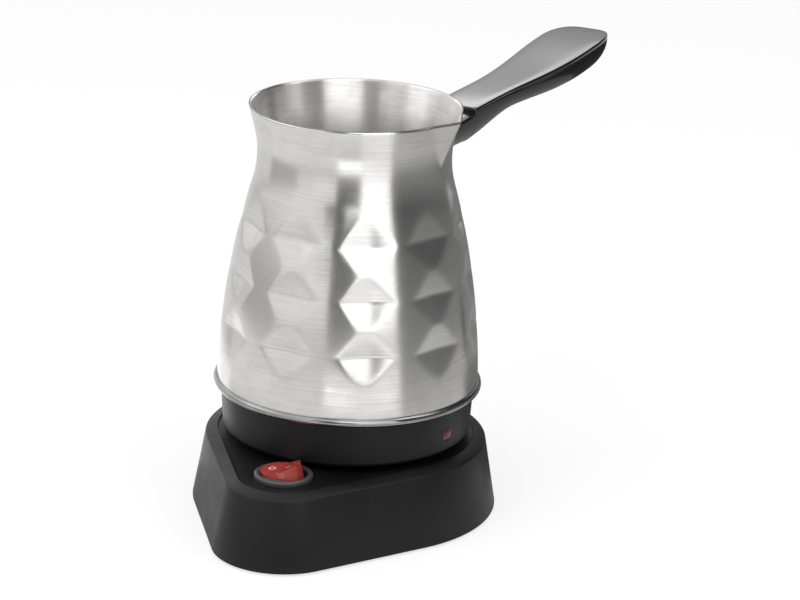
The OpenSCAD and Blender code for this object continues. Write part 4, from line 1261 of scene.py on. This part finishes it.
@dataclass
class Studio:
    """Pale floor, soft lamps, reflection cards and the camera."""

    azimuth: float = 22.32
    elevation: float = 18.49
    roll: float = 2.20
    distance: float = 1156.0
    focal_px: float = 2900.0
    frame_px: float = 800.0
    sensor: float = 36.0
    clip: tuple[float, float] = (0.01, 100.0)
    aim_z: float = 100.0
    right_shift: float = -20.0
    up_shift: float = 13.5
    floor_size: float = 6.0
    floor_tone: str = "#e6e6e6"
    floor_lift: float = 0.62
    floor_glow: float = 1.14
    ambient: float = 0.62
    cards: tuple[Card, ...] = (
        Card(-75, 128, 0.28, 0.03, 0, 320, 520),
        Card(-75, 128, 0.03, 0.03, 320, 700, 520),
        Card(-60, 44, 1.5, 1.5, 700, 1400, 520),
        Card(-108, -64, 0.40, 0.55, 30, 100),
        Card(-108, -64, 0.55, 1.05, 100, 180),
        Card(-108, -64, 0.6, 0.6, 180, 203),
        Card(-108, -64, 1.7, 1.7, 203, 500),
        Card(-64, -17, 0.60, 0.92, 12, 90),
        Card(-64, -40, 0.92, 1, 90, 200),
        Card(-40, -17, 1.1, 0.85, 90, 200),
        Card(-64, -28, 1, 1, 200, 700),
        Card(-28, -6, 0.1, 0.35, 222, 500),
        Card(9, 41, 1.6, 1.8, 60, 215),
        Card(-6, 41, 1.9, 1.9, 215, 700),
        Card(76, 98, 2.4, 2.4, 300, 800),
        Card(112, 152, 0.04, 0.06, 145, 600, 420),
        Card(152, 214, 0.17, 0.92, 150, 222),
        Card(152, 214, 0.92, 2.2, 222, 240),
        Card(152, 214, 2.2, 2.6, 240, 300),
        Card(118, 180, 0.32, 0.18, 0, 110, 240),
        Card(-108, -17, 0.6, 0.8, low=1, r=92, far=200),
        Card(-108, -17, 0.95, 1.05, low=1, r=200, far=600),
        Card(-17, 9, 0.4, 0.6, low=1, r=92, far=235),
        Card(-17, 9, 2, 2, low=1, r=235, far=400),
        Card(-17, 9, 0.4, 0.3, low=1, r=400, far=600),
        Card(9, 44, 0.5, 0.9, low=1, r=92, far=200),
        Card(9, 44, 1.2, 1.5, low=1, r=200, far=600),
        Card(44, 116, 0.8, 0.62, low=1, r=92, far=190),
        Card(44, 116, 0.62, 0.1, low=1, r=190, far=600),
        Card(116, 162, 0.06, 0.03, low=1, r=280, far=900),
        Card(112, 172, 0.12, 0.2, low=1, r=66, far=235),
        Card(-176, -112, 1.5, 1.2, low=1, r=66, far=240),
    )

    lamps: tuple[tuple[str, float, float, float, float, float], ...] = (
        ("soft_left", -55, 45, 1.6, 1.2, 9),
        ("soft_right", 60, 40, 1.8, 1.0, 5),
        ("soft_top", 10, 80, 1.8, 1.4, 9),
    )

    def axes(self) -> tuple[Vector, Vector, Vector]:
        """The camera's forward, right and up vectors before its roll."""
        turn = Matrix.Rotation(math.radians(self.azimuth), 3, "Z")
        e = math.radians(self.elevation)
        return (
            turn @ Vector((0, math.cos(e), -math.sin(e))),
            turn @ Vector((1, 0, 0)),
            turn @ Vector((0, math.sin(e), math.cos(e))),
        )

    def build_camera(self) -> None:
        """Sets up the camera."""
        forward, right, up = self.axes()
        eye = Vector((0, 0, self.aim_z)) - forward * self.distance
        eye = eye - right * self.right_shift - up * self.up_shift
        roll = math.radians(self.roll)
        x = right * math.cos(roll) + up * math.sin(roll)
        y = up * math.cos(roll) - right * math.sin(roll)
        data = bpy.data.cameras.new("camera")
        data.sensor_width, data.lens = self.sensor, self.focal_px / self.frame_px * self.sensor
        data.clip_start, data.clip_end = self.clip
        camera = add_object("camera", data)
        matrix = Matrix((x, y, -forward)).transposed().to_4x4()
        matrix.translation = eye * MM
        camera.matrix_world = matrix
        bpy.context.scene.camera = camera

    def build_world(self) -> None:
        """A white surround for camera, glossy and transmitted rays; a plain level for others."""
        world = bpy.data.worlds.new("studio")
        bpy.context.scene.world = world
        tree = emptied_tree(world)
        path = add_node(tree, "LightPath")
        seen = path.outputs["Is Camera Ray"]
        for ray in ("Is Glossy Ray", "Is Transmission Ray"):
            either = {0: seen, 1: path.outputs[ray]}
            seen = add_node(tree, "Math", either, operation="MAXIMUM").outputs[0]
        level = add_node(tree, "MapRange", {
            "Value": seen, "To Min": self.ambient, "To Max": 1.0})
        backdrop = add_node(tree, "Background", {
            "Color": WHITE, "Strength": level.outputs["Result"]})
        add_node(tree, "OutputWorld", {"Surface": backdrop.outputs[0]})

    def build_floor(self) -> None:
        """The pale floor, lifted to white for the camera but for the object's soft shadow."""
        bm = bmesh.new()
        bmesh.ops.create_grid(bm, x_segments=1, y_segments=1, size=self.floor_size)
        material = bpy.data.materials.new("painted_floor")
        tree = emptied_tree(material)
        paint = add_node(tree, "BsdfDiffuse", {"Color": srgb(self.floor_tone)})
        glow = add_node(tree, "Emission", {
            "Color": WHITE, "Strength": self.floor_glow})
        path = add_node(tree, "LightPath")
        lift = {0: path.outputs["Is Camera Ray"], 1: self.floor_lift}
        share = add_node(tree, "Math", lift, operation="MULTIPLY")
        both = add_node(tree, "MixShader", {
            0: share.outputs[0], 1: paint.outputs[0], 2: glow.outputs[0]})
        add_node(tree, "OutputMaterial", {"Surface": both.outputs[0]})
        floor = add_body("floor", bm, material)

    def build_cards(self) -> None:
        """The cards that only reflections see: pale, bright and dark ones."""
        for number, card in enumerate(self.cards):
            card.build(f"card_{number}", self.azimuth)

    def build_lamp(self, name: str, turn: float, height: float, far: float, size: float,
                   power: float) -> None:
        """A square soft lamp that looks at the object.

        Args:
            name: The lamp's name.
            turn: Angle from the camera in degrees, positive to the right.
            height: Angle above the horizon in degrees.
            far: Distance in metres.
            size: Side of the lamp in metres.
            power: Power in watts.
        """
        data = bpy.data.lights.new(name, "AREA")
        data.shape, data.size, data.energy = "SQUARE", size, power
        lamp = add_object(name, data)
        a, e = math.radians(self.azimuth + turn), math.radians(height)
        back = Vector((math.sin(a) * math.cos(e), -math.cos(a) * math.cos(e), math.sin(e)))
        target = Vector((0, 0, self.aim_z * MM))
        lamp.location = target + back * far
        lamp.rotation_euler = (-back).to_track_quat("-Z", "Y").to_euler()
        lamp.visible_glossy = False

    def build(self) -> None:
        """Builds the whole studio."""
        bpy.context.scene.view_settings.view_transform = "Standard"
        self.build_camera()
        self.build_world()
        self.build_floor()
        self.build_cards()
        for lamp in self.lamps:
            self.build_lamp(*lamp)


def main() -> None:
    """Builds the studio and every piece in order."""
    logging.basicConfig(level=logging.INFO, format="%(name)s: %(message)s")
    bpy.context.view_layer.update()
    Studio().build()
    pot, base = Pot(), Base()
    handle, switch = Handle(pot), Switch(base)
    dress_nodes()
    builders = [
        pot.build_shell, handle.build_ferrule, handle.build_grip, PilotLens(pot).build,
        base.build_housing, switch.build_body, switch.build_rocker,
        lambda: switch.build_mark(Mark.OFF), lambda: switch.build_mark(Mark.ON),
    ]
    for build in builders:
        piece = build()
        LOG.info("made %s, %d faces", piece.name, len(piece.data.polygons))


if __name__ == "__main__":
    main()
